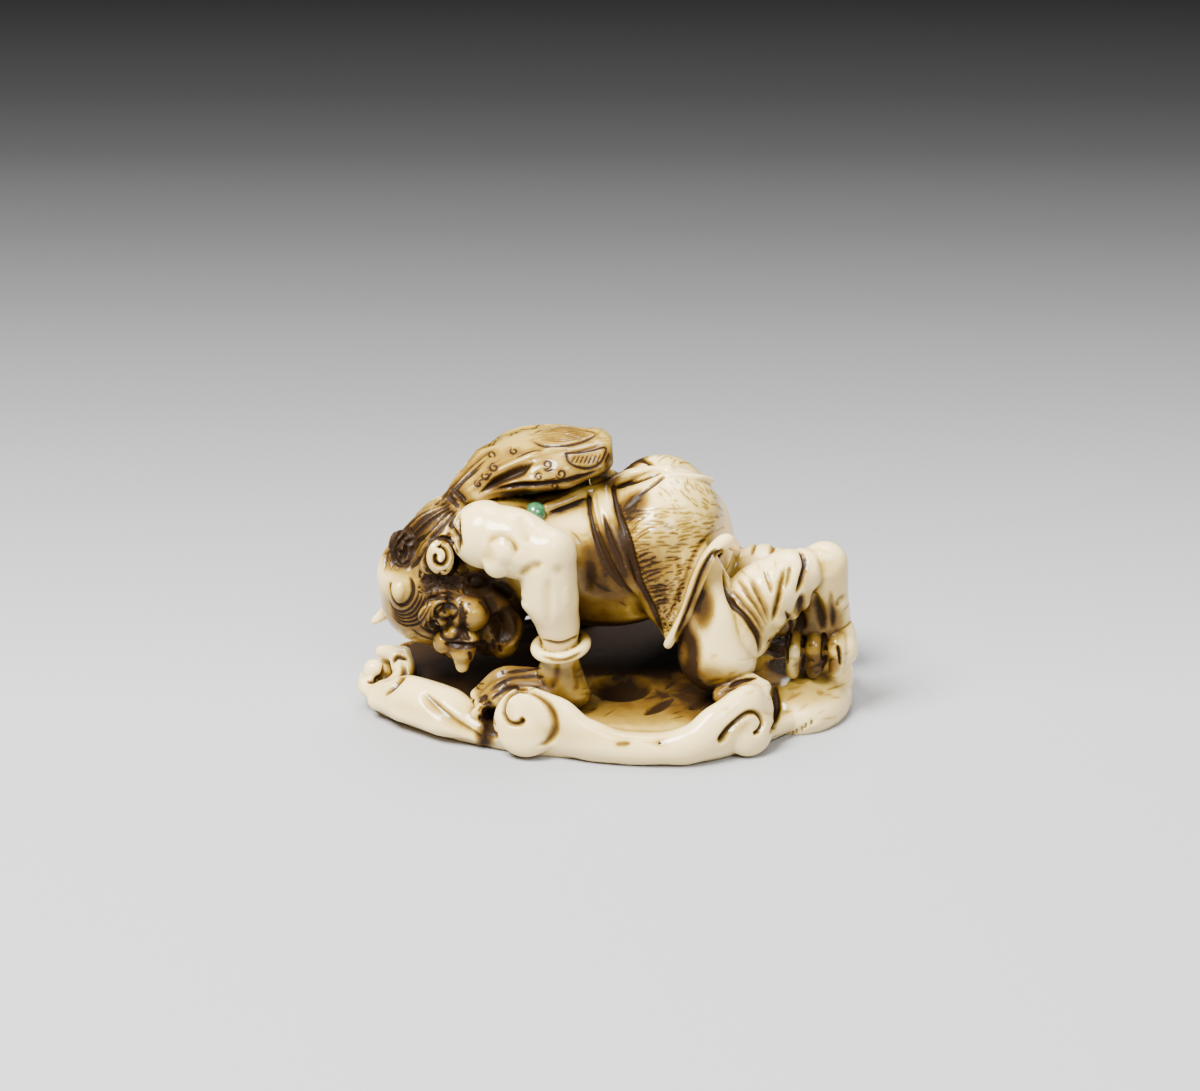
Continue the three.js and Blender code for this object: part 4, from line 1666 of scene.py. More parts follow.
@dataclass(frozen=True)
class FarLeg:
    """The far leg, plainer and with its heel lower."""

    def rough_out(self) -> list[bpy.types.Object]:
        """Shapes the leg in one block.

        Returns:
            Two closed meshes.
        """
        leg = Block(
            "far_leg",
            (
                Limb(((6.4, 6.0, 18.6), (8.4, 7.4, 15.0), (10.2, 8.8, 11.0), (11.0, 9.2, 7.6)),
                     (3.6, 3.3, 3.6, 3.8)),
                Limb(((12.4, 8.6, 8.2), (15.6, 7.8, 9.8), (18.6, 6.8, 10.8)), (3.3, 3.6, 2.4)),
                Limb(
                    ((20.6, 6.2, 12.0), (21.0, 6.0, 9.2), (21.2, 6.0, 6.2)),
                    (2.1, 2.4, 3.0),
                    (2.0, 1.6, 1.4),
                    (0.0, 1.0, 0.0),
                ),
            ),
            0.25,
            6,
        )
        toes = Block(
            "far_toes",
            tuple(
                Limb(((x, 6.6, 6.8), (x, 8.0, 6.0), (x, 8.1, 4.4)), (0.75, 0.75, 0.55)) for x in (18.9,
                                                                                                  20.5,
                                                                                                  22.1,
                                                                                                  23.5)
            ),
            0.16,
            2,
        )
        return [leg.rough_out(), toes.rough_out()]

    def shape(self, chisel: Chisel, boards: Boards) -> None:
        """Cuts the pleats and the toes of the far leg.

        Args:
            chisel: The tool.
            boards: What the strokes are drawn on.
        """
        strokes = [
            Stroke(((11.6, 11.6), (12.4, 8.4), (14.0, 6.0), (14.6, 3.4)), 0.45, 0.4, 0.8, -0.4),
            Stroke(((13.0, 10.4), (14.4, 7.8), (15.4, 4.8)), 0.4, 0.3, 0.5, -0.5),
            Stroke(((14.4, 10.8), (15.8, 8.4), (16.6, 5.6)), 0.4, 0.3, 0.5, -0.5),
            Stroke(((16.4, 11.2), (17.2, 9.0), (17.6, 6.6)), 0.4, 0.26, 0.45, -0.4),
            Stroke(((18.6, 11.4), (19.2, 9.4), (18.8, 7.4)), 0.45, 0.4, 0.8, -0.4),
            Stroke(((19.7, 1.0), (19.7, 2.8)), 0.35, 0.5, 0.9),
            Stroke(((21.3, 1.0), (21.3, 2.8)), 0.35, 0.5, 0.9),
            Stroke(((22.8, 1.0), (22.8, 2.8)), 0.35, 0.5, 0.9),
        ]
        chisel.cut(boards.far, strokes)

    def lines(self, chisel: Chisel, boards: Boards) -> None:
        """Cuts creases in the soles and the heels.

        Args:
            chisel: The tool.
            boards: What the strokes are drawn on.
        """
        soles = [
            Stroke(((-3.6, 9.4), (-2.4, 9.9), (-1.2, 9.4)), 0.2, 0.07, 0.4, taper=0.3),
            Stroke(((-3.4, 11.4), (-2.3, 11.9), (-1.2, 11.5)), 0.2, 0.06, 0.35, taper=0.3),
            Stroke(((4.9, 8.6), (6.1, 9.2), (7.4, 8.8)), 0.2, 0.07, 0.4, taper=0.3),
        ]
        chisel.cut(boards.rear, soles)

    def washes(self) -> list[Wash]:
        """Lists the stains of the far leg.

        Returns:
            Clouds of tone and stain.
        """
        return [
            Wash((8.6, 10.6, 8.0), (2.4, 3.4, 6.0), 0.85, 0.3),
            Wash((14.6, 9.4, 8.8), (4.4, 4.0, 4.0), 0.45, 0.0),
            Wash((21.2, 7.6, 6.4), (3.4, 3.0, 3.4), 0.75, 0.2),
        ]


class HeadFrame:
    """Directions of the bowed head: sideways to the far ear, down to the chin and ahead through the nose."""

    centre = Vector((-15.6, -1.8, 12.8))
    sideways = Vector((-0.38, 0.57, -0.73)).normalized()
    down = Vector((0.89, 0.0, -0.46)).normalized()
    ahead = sideways.cross(down).normalized()

    @classmethod
    def at(cls, sideways: float, down: float, ahead: float) -> Point:
        """Finds a point of the head.

        Args:
            sideways: Millimetres towards the far ear.
            down: Millimetres towards the chin.
            ahead: Millimetres out of the face.

        Returns:
            The point in the row's frame.
        """
        return tuple(cls.centre + cls.sideways * sideways + cls.down * down + cls.ahead * ahead)

    @classmethod
    def ball(cls, at: Point, radii: Point) -> Ball:
        """Makes a lump whose axes follow the head's own.

        Args:
            at: Its centre, sideways, down and ahead.
            radii: Its half sizes, sideways, down and ahead.

        Returns:
            The lump.
        """
        axes = Matrix((cls.sideways, cls.down, cls.ahead)).transposed()
        turn = tuple(math.degrees(a) for a in axes.to_euler())
        return Ball(cls.at(*at), radii, turn)


@dataclass(frozen=True)
class Head:
    """The bowed head, its face turned down over the near shoulder, its mouth open."""

    def rough_out(self) -> list[bpy.types.Object]:
        """Shapes the skull, the features and the horns.

        Returns:
            The closed meshes.
        """
        at, ball = HeadFrame.at, HeadFrame.ball
        skull = Block(
            "skull",
            (
                ball((0.0, -1.6, -0.4), (5.1, 6.2, 5.2)),
                Ball((-17.6, -1.5, 12.4), (5.0, 4.8, 5.0)),
                ball((0.0, 3.4, -0.4), (4.6, 4.6, 4.2)),
                ball((0.0, 5.6, 1.6), (3.6, 2.6, 2.6)),
                ball((-3.0, 1.9, 3.0), (1.9, 2.0, 1.9)),
                ball((3.0, 1.9, 3.0), (1.9, 2.0, 1.9)),
                ball((0.0, 2.4, 4.6), (2.2, 1.9, 1.9)),
            ),
            0.22,
            9,
        )
        features = [
            ball((0.0, 1.0, 5.4), (1.25, 1.1, 1.3)),
            ball((-1.1, 1.6, 4.9), (0.8, 0.7, 0.8)),
            ball((1.1, 1.6, 4.9), (0.8, 0.7, 0.8)),
            Limb((at(-1.6, 3.0, 5.2), at(-0.2, 3.2, 6.2), at(0.4, 3.6, 6.9)), (1.0, 1.1, 0.7)),
            ball((0.0, 6.8, 2.7), (2.0, 1.4, 1.5)),
        ]
        for s in (-1.0, 1.0):
            features += [
                ball((s * 2.0, -0.5, 4.3), (1.0, 0.8, 0.8)),
                Limb((at(s * 0.6, -1.5, 4.8), at(s * 2.2, -2.1, 4.8), at(s * 4.0, -1.3, 3.5)),
                     (0.5, 0.7, 0.5)),
                ball((s * 4.7, 1.0, -1.2), (0.9, 2.0, 1.5)),
            ]
        face = Block("face", features, 0.14, 3)
        horns = Block(
            "horns",
            (
                Ball((-20.5, -4.7, 14.3), (1.05, 1.3, 1.5), (25.0, 12.0, 0.0)),
                Limb(((-21.4, -0.6, 10.5), (-23.1, -1.0, 9.3)), (0.9, 0.45)),
            ),
            0.14,
            3,
        )
        return [skull.rough_out(), face.rough_out(), horns.rough_out()]

    def shape(self, chisel: Chisel, boards: Boards) -> None:
        """Cuts the mouth, the eyes, the nose and the cheeks.

        Args:
            chisel: The tool.
            boards: What the strokes are drawn on.
        """
        strokes = [
            # mouth
            Stroke(((-11.8, 8.1), (-10.9, 7.7), (-10.5, 6.6), (-10.9, 5.6)), (0.9, 1.3, 1.2, 0.7), 1.5, 2.4,
                   sharp=1.0),
            Stroke(((-16.5, 5.65), (-14.9, 5.5), (-13.4, 5.45), (-12.2, 5.9)), 0.4, 0.5, 1.2),
            Stroke(((-9.9, 9.2), (-8.9, 8.2), (-8.9, 6.6), (-9.9, 5.2)), 0.6, -0.25, 0.0),
            # cheek and the fold beside the nose
            Stroke(((-14.8, 9.8), (-14.5, 8.2), (-14.35, 6.7), (-13.6, 5.9)), 0.5, 0.42, 1.0, 0.3),
            Stroke(((-13.4, 9.2), (-13.2, 7.2)), 1.4, -0.16, 0.0),
            Stroke(((-12.3, 10.2), (-11.4, 8.9), (-11.9, 7.4)), 0.5, 0.3, 0.5),
            # near eye
            Stroke(loop((-16.2, 8.8), (1.05, 0.78)), 0.26, 0.24, 0.6, taper=0.0),
            Stroke(((-16.2, 8.85),), 0.8, -0.2, 0.0),
            # far eye and the bridge of the nose
            Stroke(loop((-17.5, 7.35), (0.65, 0.55)), 0.22, 0.2, 0.5, taper=0.0),
            Stroke(((-17.5, 7.35),), 0.5, -0.2, 0.0),
            Stroke(((-16.9, 8.3), (-16.5, 7.4), (-15.9, 6.9)), 0.45, -0.15, 0.0),
            # nose
            Stroke(((-15.7, 6.85),), 1.0, -0.22, 0.0),
            Stroke(loop((-15.7, 6.8), (1.0, 0.85), 150, 250), 0.22, 0.25, 0.5, taper=0.1),
            Stroke(((-14.9, 6.2),), 0.35, 0.4, 1.2),
            # upper lip and the tusks
            Stroke(((-15.9, 4.9), (-14.9, 4.2), (-13.6, 4.4)), 0.5, -0.15, 0.0),
            Stroke(((-13.9, 4.9), (-13.6, 4.0)), 0.25, 0.2, 0.8),
            Stroke(((-12.3, 5.9), (-12.1, 4.6)), 0.3, 0.25, 0.9),
            # brow, temple and ear
            Stroke(((-18.9, 11.9), (-17.4, 12.2), (-15.8, 11.9), (-14.6, 11.3)), 0.8, 0.3, 1.0),
            Stroke(((-18.5, 10.5), (-16.9, 10.85), (-15.2, 10.9), (-14.2, 10.4)), 0.4, -0.22, 0.0),
            Stroke(((-18.3, 10.05), (-16.9, 10.2), (-15.3, 10.1)), 0.3, 0.2, 0.8),
            Stroke(coil((-13.1, 11.9), (1.35, 0.75), 1.3, 170, 0.3), 0.32, 0.35, 1.0),
            Stroke(((-11.4, 11.4), (-10.3, 11.0), (-9.7, 10.2)), 0.6, 0.3, 0.7),
            # the groove round the horn
            Stroke(loop((-20.65, 11.1), (1.15, 1.65), 150, 260), 0.3, 0.26, 0.55, taper=0.15),
        ]
        chisel.cut(boards.near, strokes)

    def lines(self, chisel: Chisel, boards: Boards) -> None:
        """Cuts the wrinkles, the lids, the pupils and the crinkled brow.

        Args:
            chisel: The tool.
            boards: What the strokes are drawn on.
        """
        first = ((-21.9, 10.1), (-21.5, 9.2), (-20.7, 8.8), (-19.8, 9.1), (-19.1, 10.1), (-18.9, 11.1))
        last = ((-21.8, 8.7), (-20.9, 7.7), (-19.9, 7.4), (-18.7, 7.8), (-17.9, 9.1), (-17.5, 10.0))
        strokes = comb(first, last, 5, width=0.22, depth=0.16, ink=0.5, halo=0.15)
        strokes += comb(((-17.9, 9.5), (-18.2, 8.4), (-17.9, 7.2), (-17.2, 6.4)),
                        ((-17.1, 9.3), (-17.3, 8.4), (-17.0, 7.7), (-16.6, 7.0)), 3, width=0.16, depth=0.08,
                        ink=0.3)
        strokes += comb(((-19.8, 7.2), (-18.6, 6.4), (-17.2, 5.9)),
                        ((-18.9, 7.6), (-18.2, 7.0), (-17.5, 6.6)), 2,
                        width=0.2, depth=0.08, ink=0.35)
        strokes += [
            Stroke(((-16.9, 9.1), (-16.2, 9.3), (-15.5, 9.1)), 0.15, 0.08, 0.5),
            Stroke(((-16.9, 8.5), (-16.2, 8.25), (-15.5, 8.5)), 0.15, 0.08, 0.5),
            Stroke(((-16.35, 8.8),), 0.22, 0.15, 1.2),
            Stroke(((-17.6, 7.35),), 0.18, 0.12, 1.1),
            Stroke(((-13.0, 9.9), (-12.4, 9.4), (-12.0, 8.6)), 0.2, 0.1, 0.5),
            Stroke(((-10.0, 10.0), (-9.2, 9.2), (-8.3, 7.8)), 0.2, 0.08, 0.4),
            Stroke(((-11.5, 6.2), (-11.4, 5.0)), 0.16, 0.15, 0.8),
            Stroke(((-10.9, 5.6), (-10.7, 4.7)), 0.16, 0.12, 0.7),
        ]
        rng = chisel.rng
        for _ in range(90):
            x, h = rng.uniform(-18.8, -14.0), rng.uniform(10.7, 12.9)
            turn, run = rng.uniform(0, math.tau), rng.uniform(0.2, 0.5)
            strokes.append(Stroke(((x, h), (x + math.cos(turn) * run, h + math.sin(turn) * run * 0.7)),
                                  0.17,
                                  rng.uniform(0.08, 0.2), 1.0, taper=0.3))
        for _ in range(24):
            x, h = rng.uniform(-14.9, -13.9), rng.uniform(7.0, 10.4)
            strokes.append(Stroke(((x, h), (x + rng.uniform(-0.2, 0.2), h - 0.4)), 0.14, 0.1, 0.8,
                                  taper=0.3))
        chisel.cut(boards.near, strokes)

    def washes(self) -> list[Wash]:
        """Lists the stains of the head.

        Returns:
            Clouds of tone and stain.
        """
        return [
            Wash((-15.2, -4.4, 11.4), (9.5, 8.4, 7.5), 0.95, 0.04),
            Wash((-16.4, -5.8, 15.6), (2.8, 3.0, 1.5), 0.9, 0.35),
            Wash((-13.0, -5.4, 15.4), (2.6, 3.6, 1.7), 0.9, 0.4),
            Wash((-10.6, -4.2, 10.4), (3.0, 4.0, 3.2), 0.8, 0.3),
            Wash((-14.6, -6.4, 10.2), (1.0, 2.0, 2.6), 0.8, 0.3),
            Wash((-14.0, -3.0, 7.6), (4.0, 4.0, 2.4), 0.6, 0.3),
        ]


@dataclass(frozen=True)
class Hair:
    """Hair drawn back to the bag's neck, with two locks that end in curls."""

    outer: Sequence[Spot] = ((-15.6, 19.9), (-18.0, 19.0), (-19.6, 17.9), (-21.3, 16.0), (-22.1, 14.2),
                             (-22.4, 12.6))
    inner: Sequence[Spot] = ((-15.0, 19.0), (-16.0, 18.0), (-16.9, 16.9), (-18.4, 15.2), (-19.0, 13.8),
                             (-20.0, 12.9))

    def rough_out(self) -> list[bpy.types.Object]:
        """Shapes the mass of the hair and the two curls.

        Returns:
            The closed meshes.
        """
        mass = Block(
            "hair",
            (
                Limb(((-19.6, -1.4, 16.8), (-17.6, -2.0, 19.6), (-14.8, -2.0, 21.9)), (2.1, 2.0, 1.3)),
                Limb(((-17.4, -4.4, 16.6), (-16.4, -4.4, 19.4), (-14.4, -3.2, 21.6)), (2.0, 1.8, 1.2)),
                Limb(((-19.0, 2.4, 14.8), (-16.6, 2.8, 18.0), (-12.8, 2.2, 21.0)), (2.4, 2.6, 1.9)),
                Ball((-14.9, -3.2, 22.6), (0.8, 0.7, 0.8)),
            ),
            0.2,
            6,
        )
        curls = Block(
            "curls",
            (
                Ball((-20.4, -2.9, 18.2), (1.25, 1.3, 1.9)),
                Ball((-16.8, -5.9, 18.4), (1.75, 1.3, 2.1)),
            ),
            0.14,
            2,
        )
        return [mass.rough_out(), curls.rough_out()]

    def curls(self) -> list[Stroke]:
        """Draws the two coiled locks.

        Returns:
            Their strokes.
        """
        strokes = []
        for centre, radii, start in (((-20.6, 15.4), (1.2, 1.85), 75.0),
                                     ((-16.75, 14.3), (1.68, 1.98), 120.0)):
            x, h = centre
            strokes += [
                Stroke(loop(centre, radii, 0, 360), 0.32, 0.4, 0.7, taper=0.0),
                Stroke(coil(centre, (radii[0] * 0.56, radii[1] * 0.56), -0.95, start, 0.5),
                       (0.2, 0.34, 0.34, 0.3), (0.4, 0.6, 0.6, 0.5), 0.7, taper=0.1, sharp=1.2),
                Stroke(((x - radii[0] * 0.12, h - radii[1] * 0.16),), 0.5, -0.5, 0.0),
            ]
        return strokes

    def shape(self, chisel: Chisel, boards: Boards) -> None:
        """Parts the locks.

        Args:
            chisel: The tool.
            boards: What the strokes are drawn on.
        """
        locks = comb(self.outer, self.inner, 5, width=(0.3, 0.42, 0.42, 0.3), depth=(0.25, 0.42, 0.4, 0.2),
                     ink=0.75,
                     lean=0.3)
        around = [
            Stroke(((-15.3, 18.6), (-15.6, 17.4), (-15.0, 16.2), (-14.9, 14.6)), 0.4, 0.35, 0.8),
            Stroke(((-14.9, 18.2), (-14.9, 16.8), (-14.6, 15.2)), 0.35, 0.3, 0.8),
            Stroke(((-18.6, 13.4), (-17.8, 12.6), (-16.6, 12.2), (-15.4, 12.6)), 0.4, 0.35, 0.9),
        ]
        for board in (boards.near, boards.far):
            chisel.cut(board, locks + self.curls() + around)

    def lines(self, chisel: Chisel, boards: Boards) -> None:
        """Cuts the fine hairs along the locks and the curls.

        Args:
            chisel: The tool.
            boards: What the strokes are drawn on.
        """
        fine = {"width": 0.14, "depth": 0.09, "ink": 0.4, "taper": 0.2}
        strokes = comb(self.outer, self.inner, 17, **fine)
        for centre, radii in (((-20.6, 15.4), (1.2, 1.85)), ((-16.75, 14.3), (1.68, 1.98))):
            for share in (0.72, 0.84):
                strokes.append(Stroke(loop(centre, (radii[0] * share, radii[1] * share), 100, -250), 0.1,
                                      0.06, 0.25))
        rng = chisel.rng
        for _ in range(60):
            x, h = rng.uniform(-17.2, -14.6), rng.uniform(15.8, 19.0)
            run = rng.uniform(0.5, 1.2)
            strokes.append(Stroke(((x, h), (x - run * 0.5, h - run * 0.8)), 0.14, 0.07, 0.5, taper=0.3))
        crown = comb(((-13.0, 0.5), (-16.5, 1.0), (-20.0, 0.0)), ((-11.0, 5.0), (-15.0, 6.4), (-18.5, 6.2)),
                     12, **fine)
        for board in (boards.near, boards.far):
            chisel.cut(board, strokes)
        chisel.cut(boards.top, crown)

    def washes(self) -> list[Wash]:
        """Lists the stains of the hair.

        Returns:
            Clouds of tone and stain.
        """
        return [
            Wash((-18.4, -2.0, 18.4), (5.4, 6.4, 5.4), 0.85, 0.12),
            Wash((-15.0, -3.6, 19.8), (2.0, 3.0, 2.6), 0.8, 0.35),
            Wash((-18.0, 3.4, 16.4), (4.4, 4.0, 4.4), 0.8, 0.3),
        ]


@dataclass(frozen=True)
class WindBag:
    """The sack of winds, gathered at its neck behind the head and swelling along the back."""

    def rough_out(self) -> list[bpy.types.Object]:
        """Shapes the sack.

        Returns:
            One closed mesh.
        """
        sack = Block(
            "wind_bag",
            (
                Limb(
                    (
                        (-15.6, -1.6, 22.6),
                        (-13.4, -0.4, 23.6),
                        (-10.8, 0.8, 24.8),
                        (-7.8, MIDLINE, 25.4),
                        (-4.6, MIDLINE, 25.9),
                        (-1.2, MIDLINE, 26.5),
                    ),
                    (1.2, 2.6, 4.4, 5.4, 5.2, 3.9),
                    (0.8, 1.5, 2.2, 2.6, 2.6, 2.0),
                    segments=36,
                ),
            ),
            0.2,
            2,
        )
        bag = sack.rough_out()
        places = Bench.read(bag)
        places[:, 0] = np.minimum(places[:, 0], 0.5 + 0.08 * (26.0 - places[:, 2]))
        Bench.write(bag, places)
        Bench.modify(bag, "SMOOTH", factor=0.5, iterations=4)
        return [bag]

    def shape(self, chisel: Chisel, boards: Boards) -> None:
        """Cuts the folds and the leaf-shaped panel.

        Args:
            chisel: The tool.
            boards: What the strokes are drawn on.
        """
        folds = [
            # the ridge, the deep fold below it and the crease above the shoulder
            Stroke(((-14.4, 20.6), (-12.0, 22.35), (-9.5, 23.6), (-6.6, 24.75), (-3.8, 25.3)), 0.55, -0.3,
                   0.0),
            Stroke(((-13.0, 20.6), (-11.2, 21.9), (-9.0, 23.0), (-7.0, 24.0)), (0.3, 0.6, 0.75, 0.3),
                   (0.4, 0.75, 0.7, 0.2), 0.95, 0.3, 1.2),
            Stroke(((-12.6, 20.75), (-9.5, 21.35), (-6.4, 21.5), (-4.3, 21.8), (-2.4, 22.4), (-0.6, 23.2)),
                   0.42,
                   (0.3, 0.5, 0.5, 0.4, 0.4, 0.3), 0.95, -0.3),
            Stroke(((-12.0, 21.2), (-9.0, 21.95), (-6.2, 22.1)), 0.4, -0.16, 0.0),
            Stroke(((-7.6, 25.95), (-6.4, 25.5), (-4.3, 25.5), (-2.2, 26.05), (-0.6, 27.0)), 0.3, 0.2, 0.45,
                   0.5),
            Stroke(((-7.4, 26.1), (-5.6, 26.6), (-3.0, 27.0), (-1.2, 27.2)), 0.25, 0.06, 0.25),
            Stroke(((-4.4, 24.7), (-2.6, 25.0), (-0.3, 25.75)), 0.25, 0.12, 0.3, 0.4),
            Stroke(((-17.4, 19.0), (-15.6, 21.4), (-13.0, 24.0), (-11.2, 25.2)), 0.55, 0.2, 0.4, -0.3),
            Stroke(((-16.6, 19.4), (-14.6, 21.8), (-12.6, 23.4)), 0.4, 0.2, 0.5),
            Stroke(((-3.0, 22.6), (-1.6, 22.9), (-0.2, 23.6)), 0.4, -0.15, 0.0),
        ]
        neck = [
            Stroke(((-15.6, 21.2), (-14.9, 20.5), (-14.2, 19.9)), 0.3, 0.3, 0.9),
            Stroke(((-16.3, 20.6), (-15.4, 19.8), (-14.8, 19.2)), 0.3, 0.3, 0.9),
            Stroke(((-15.9, 21.0), (-14.6, 19.9)), 0.35, -0.3, 0.0),
        ]
        for board in (boards.near, boards.far):
            chisel.cut(board, folds + neck)

    def lines(self, chisel: Chisel, boards: Boards) -> None:
        """Incises the ornament of the sack.

        Args:
            chisel: The tool.
            boards: What the strokes are drawn on.
        """
        fine = {"width": 0.13, "depth": 0.08, "ink": 0.75, "taper": 0.2}
        patch = [(-4.2, 24.65), (-3.9, 23.8), (-2.9, 23.25), (-1.7, 23.2), (-0.7, 23.8), (-0.2, 25.2),
                 (-1.6, 24.95),
                 (-3.0, 24.7), (-4.2, 24.65)]
        strokes = [Stroke(patch, 0.15, 0.1, 0.85, taper=0.0)]
        for i in range(9):
            x = -3.7 + i * 0.42
            strokes.append(Stroke(((x, 23.65 - 0.12 * math.sin(i / 2.6)), (x + 0.5, 24.5 + i * 0.03)), 0.12,
                                  0.07, 0.6))
        for i in range(4):
            share = (i + 1) / 5
            strokes.append(
                Stroke(((-6.9, 25.95 + share * 0.3), (-4.4, 25.7 + share), (-1.6, 26.4 + share * 0.7)),
                       0.13, 0.05, 0.35)
            )
        for x, h, size, start, turns in (
            (-6.1, 23.6, 0.55, 200, 1.3),
            (-4.7, 22.6, 0.55, 160, 1.4),
            (-6.9, 22.3, 0.42, 20, 1.2),
            (-5.4, 21.4, 0.42, 220, 1.2),
            (-11.4, 23.25, 0.5, 60, 1.3),
            (-12.2, 22.4, 0.45, 120, 1.2),
            (-13.0, 21.6, 0.4, 80, 1.2),
            (-11.7, 24.5, 0.42, 300, 1.1),
            (-9.4, 24.9, 0.4, 100, 1.2),
        ):
            strokes.append(Stroke(coil((x, h), (size, size), turns, start, 0.25, 18), **fine))
        for a, b, c in (
            ((-6.5, 23.1), (-6.0, 22.9), (-5.4, 23.1)),
            ((-5.2, 22.2), (-5.8, 22.0), (-6.4, 22.0)),
            ((-12.4, 21.9), (-11.9, 22.4), (-11.6, 22.8)),
            ((-13.4, 21.2), (-12.9, 21.9), (-12.4, 22.1)),
            ((-9.2, 24.2), (-7.8, 24.8), (-6.4, 25.0)),
            ((-16.0, 20.2), (-14.0, 22.4), (-12.0, 24.2)),
        ):
            strokes.append(Stroke((a, b, c), **fine))
        rng = chisel.rng
        for _ in range(30):
            x = rng.uniform(-15, -0.6)
            h = 20.6 + (x + 15) * 0.33 + rng.uniform(0.0, 4.6)
            run = rng.uniform(0.8, 2.4)
            slope = 0.95 - 0.06 * (x + 15)
            strokes.append(Stroke(((x, h), (x + run * 0.7, h + run * 0.7 * slope)), 0.14,
                                  rng.uniform(0.015, 0.045),
                                  rng.uniform(0.05, 0.18), taper=0.45))
        for board in (boards.near, boards.far):
            chisel.cut(board, strokes)

    def washes(self) -> list[Wash]:
        """Lists the stains of the sack.

        Returns:
            Clouds of tone and stain.
        """
        washes = [Wash((-7.0, MIDLINE, 25.6), (13.5, 9.0, 7.0), 0.62, 0.0)]
        for side in Side:
            washes += [
                Wash(side.place((-14.6, -1.6, 22.4)), (3.0, 3.4, 3.0), 0.75, 0.22),
                Wash(side.place((-7.0, -4.0, 23.6)), (7.0, 3.0, 1.6), 0.8, 0.35),
                Wash(side.place((0.2, 0.0, 25.4)), (1.6, 5.0, 3.0), 0.8, 0.3),
            ]
        return washes


# ---------------------------------------------------------------- finishes


class Wire:
    """A socket's value, on which Python's operators add Math nodes."""

    def __init__(self, finish: "NodeBench", socket: bpy.types.NodeSocket) -> None:
        """Holds a socket.

        Args:
            finish: The node bench that new nodes go on.
            socket: The output that is wrapped.
        """
        self.finish = finish
        self.socket = socket

    def math(self, operation: str, first: object, second: object) -> "Wire":
        """Adds one Math node.

        Args:
            operation: What it does.
            first: Its first value.
            second: Its second value.

        Returns:
            Its result.
        """
        return self.finish.node("ShaderNodeMath", {"operation": operation},
                                {0: first, 1: second}).wire("Value")

    def __add__(self, other: object) -> "Wire":
        """Adds."""
        return self.math("ADD", self, other)

    __radd__ = __add__

    def __mul__(self, other: object) -> "Wire":
        """Multiplies."""
        return self.math("MULTIPLY", self, other)

    __rmul__ = __mul__

    def __sub__(self, other: object) -> "Wire":
        """Takes away."""
        return self.math("SUBTRACT", self, other)

    def __rsub__(self, other: object) -> "Wire":
        """Takes this away from a value."""
        return self.math("SUBTRACT", other, self)

    def between(self, low: float, high: float) -> "Wire":
        """Stretches a span to the whole range from 0 to 1 and holds it there.

        Args:
            low: What becomes 0.
            high: What becomes 1.

        Returns:
            The stretched value.
        """
        node = self.finish.node(
            "ShaderNodeMapRange",
            {"clamp": True, "interpolation_type": "SMOOTHSTEP"},
            {"Value": self, "From Min": low, "From Max": high, "To Min": 0.0, "To Max": 1.0},
        )
        return node.wire("Result")


@dataclass(frozen=True)
class Placed:
    """A node that is on the bench."""

    bench: "NodeBench"
    node: bpy.types.Node

    def wire(self, output: str) -> Wire:
        """Takes one of its outputs."""
        return Wire(self.bench, self.node.outputs[output])


class NodeBench:
    """A material that is being mixed."""

    def __init__(self, name: str) -> None:
        """Opens a material.

        Args:
            name: Its name.
        """
        self.material = bpy.data.materials.new(name)
        self.material.use_nodes = True
        self.tree = self.material.node_tree
        self.shader = self.tree.nodes["Principled BSDF"]

    def node(self, kind: str, settings: dict[str, object], sockets: dict[object, object]) -> Placed:
        """Adds a node.

        Args:
            kind: Its type.
            settings: Its own settings, and a ramp's stops.
            sockets: Values or wires for its inputs.

        Returns:
            The node.
        """
        node = self.tree.nodes.new(kind)
        for name, value in settings.items():
            if name == "stops":
                band = node.color_ramp
                while len(band.elements) < len(value):
                    band.elements.new(0.5)
                for element, (place, colour) in zip(band.elements, value):
                    element.position = place
                    element.color = (*colour, 1.0)
            else:
                setattr(node, name, value)
        for name, value in sockets.items():
            self.feed(node.inputs[name], value)
        return Placed(self, node)

    def feed(self, socket: bpy.types.NodeSocket, value: object) -> None:
        """Gives an input its value or its wire."""
        if isinstance(value, Wire):
            self.tree.links.new(value.socket, socket)
        else:
            socket.default_value = value

    def ramp(self, factor: Wire, stops: Sequence[tuple[float, tuple[float, float, float]]]) -> Wire:
        """Adds a ramp of colours.

        Args:
            factor: What picks the colour.
            stops: Places from 0 to 1 and their colours.

        Returns:
            The colour.
        """
        return self.node("ShaderNodeValToRGB", {"stops": stops}, {"Fac": factor}).wire("Color")

    def noise(self, where: Wire, scale: float, detail: float = 3.0, roughness: float = 0.55) -> Wire:
        """Adds noise.

        Args:
            where: The place that it is read at.
            scale: How fine it is, per metre.
            detail: How many finer layers it has.
            roughness: How strong those are.

        Returns:
            Its value.
        """
        return self.node(
            "ShaderNodeTexNoise", {},
            {"Vector": where, "Scale": scale, "Detail": detail, "Roughness": roughness}
        ).wire("Fac")

    def layer(self, name: str) -> Wire:
        """Reads a value that is stored on the piece."""
        return self.node("ShaderNodeAttribute", {"attribute_name": name}, {}).wire("Fac")

    def place(self) -> Wire:
        """Reads the place on the object."""
        return self.node("ShaderNodeTexCoord", {}, {}).wire("Object")


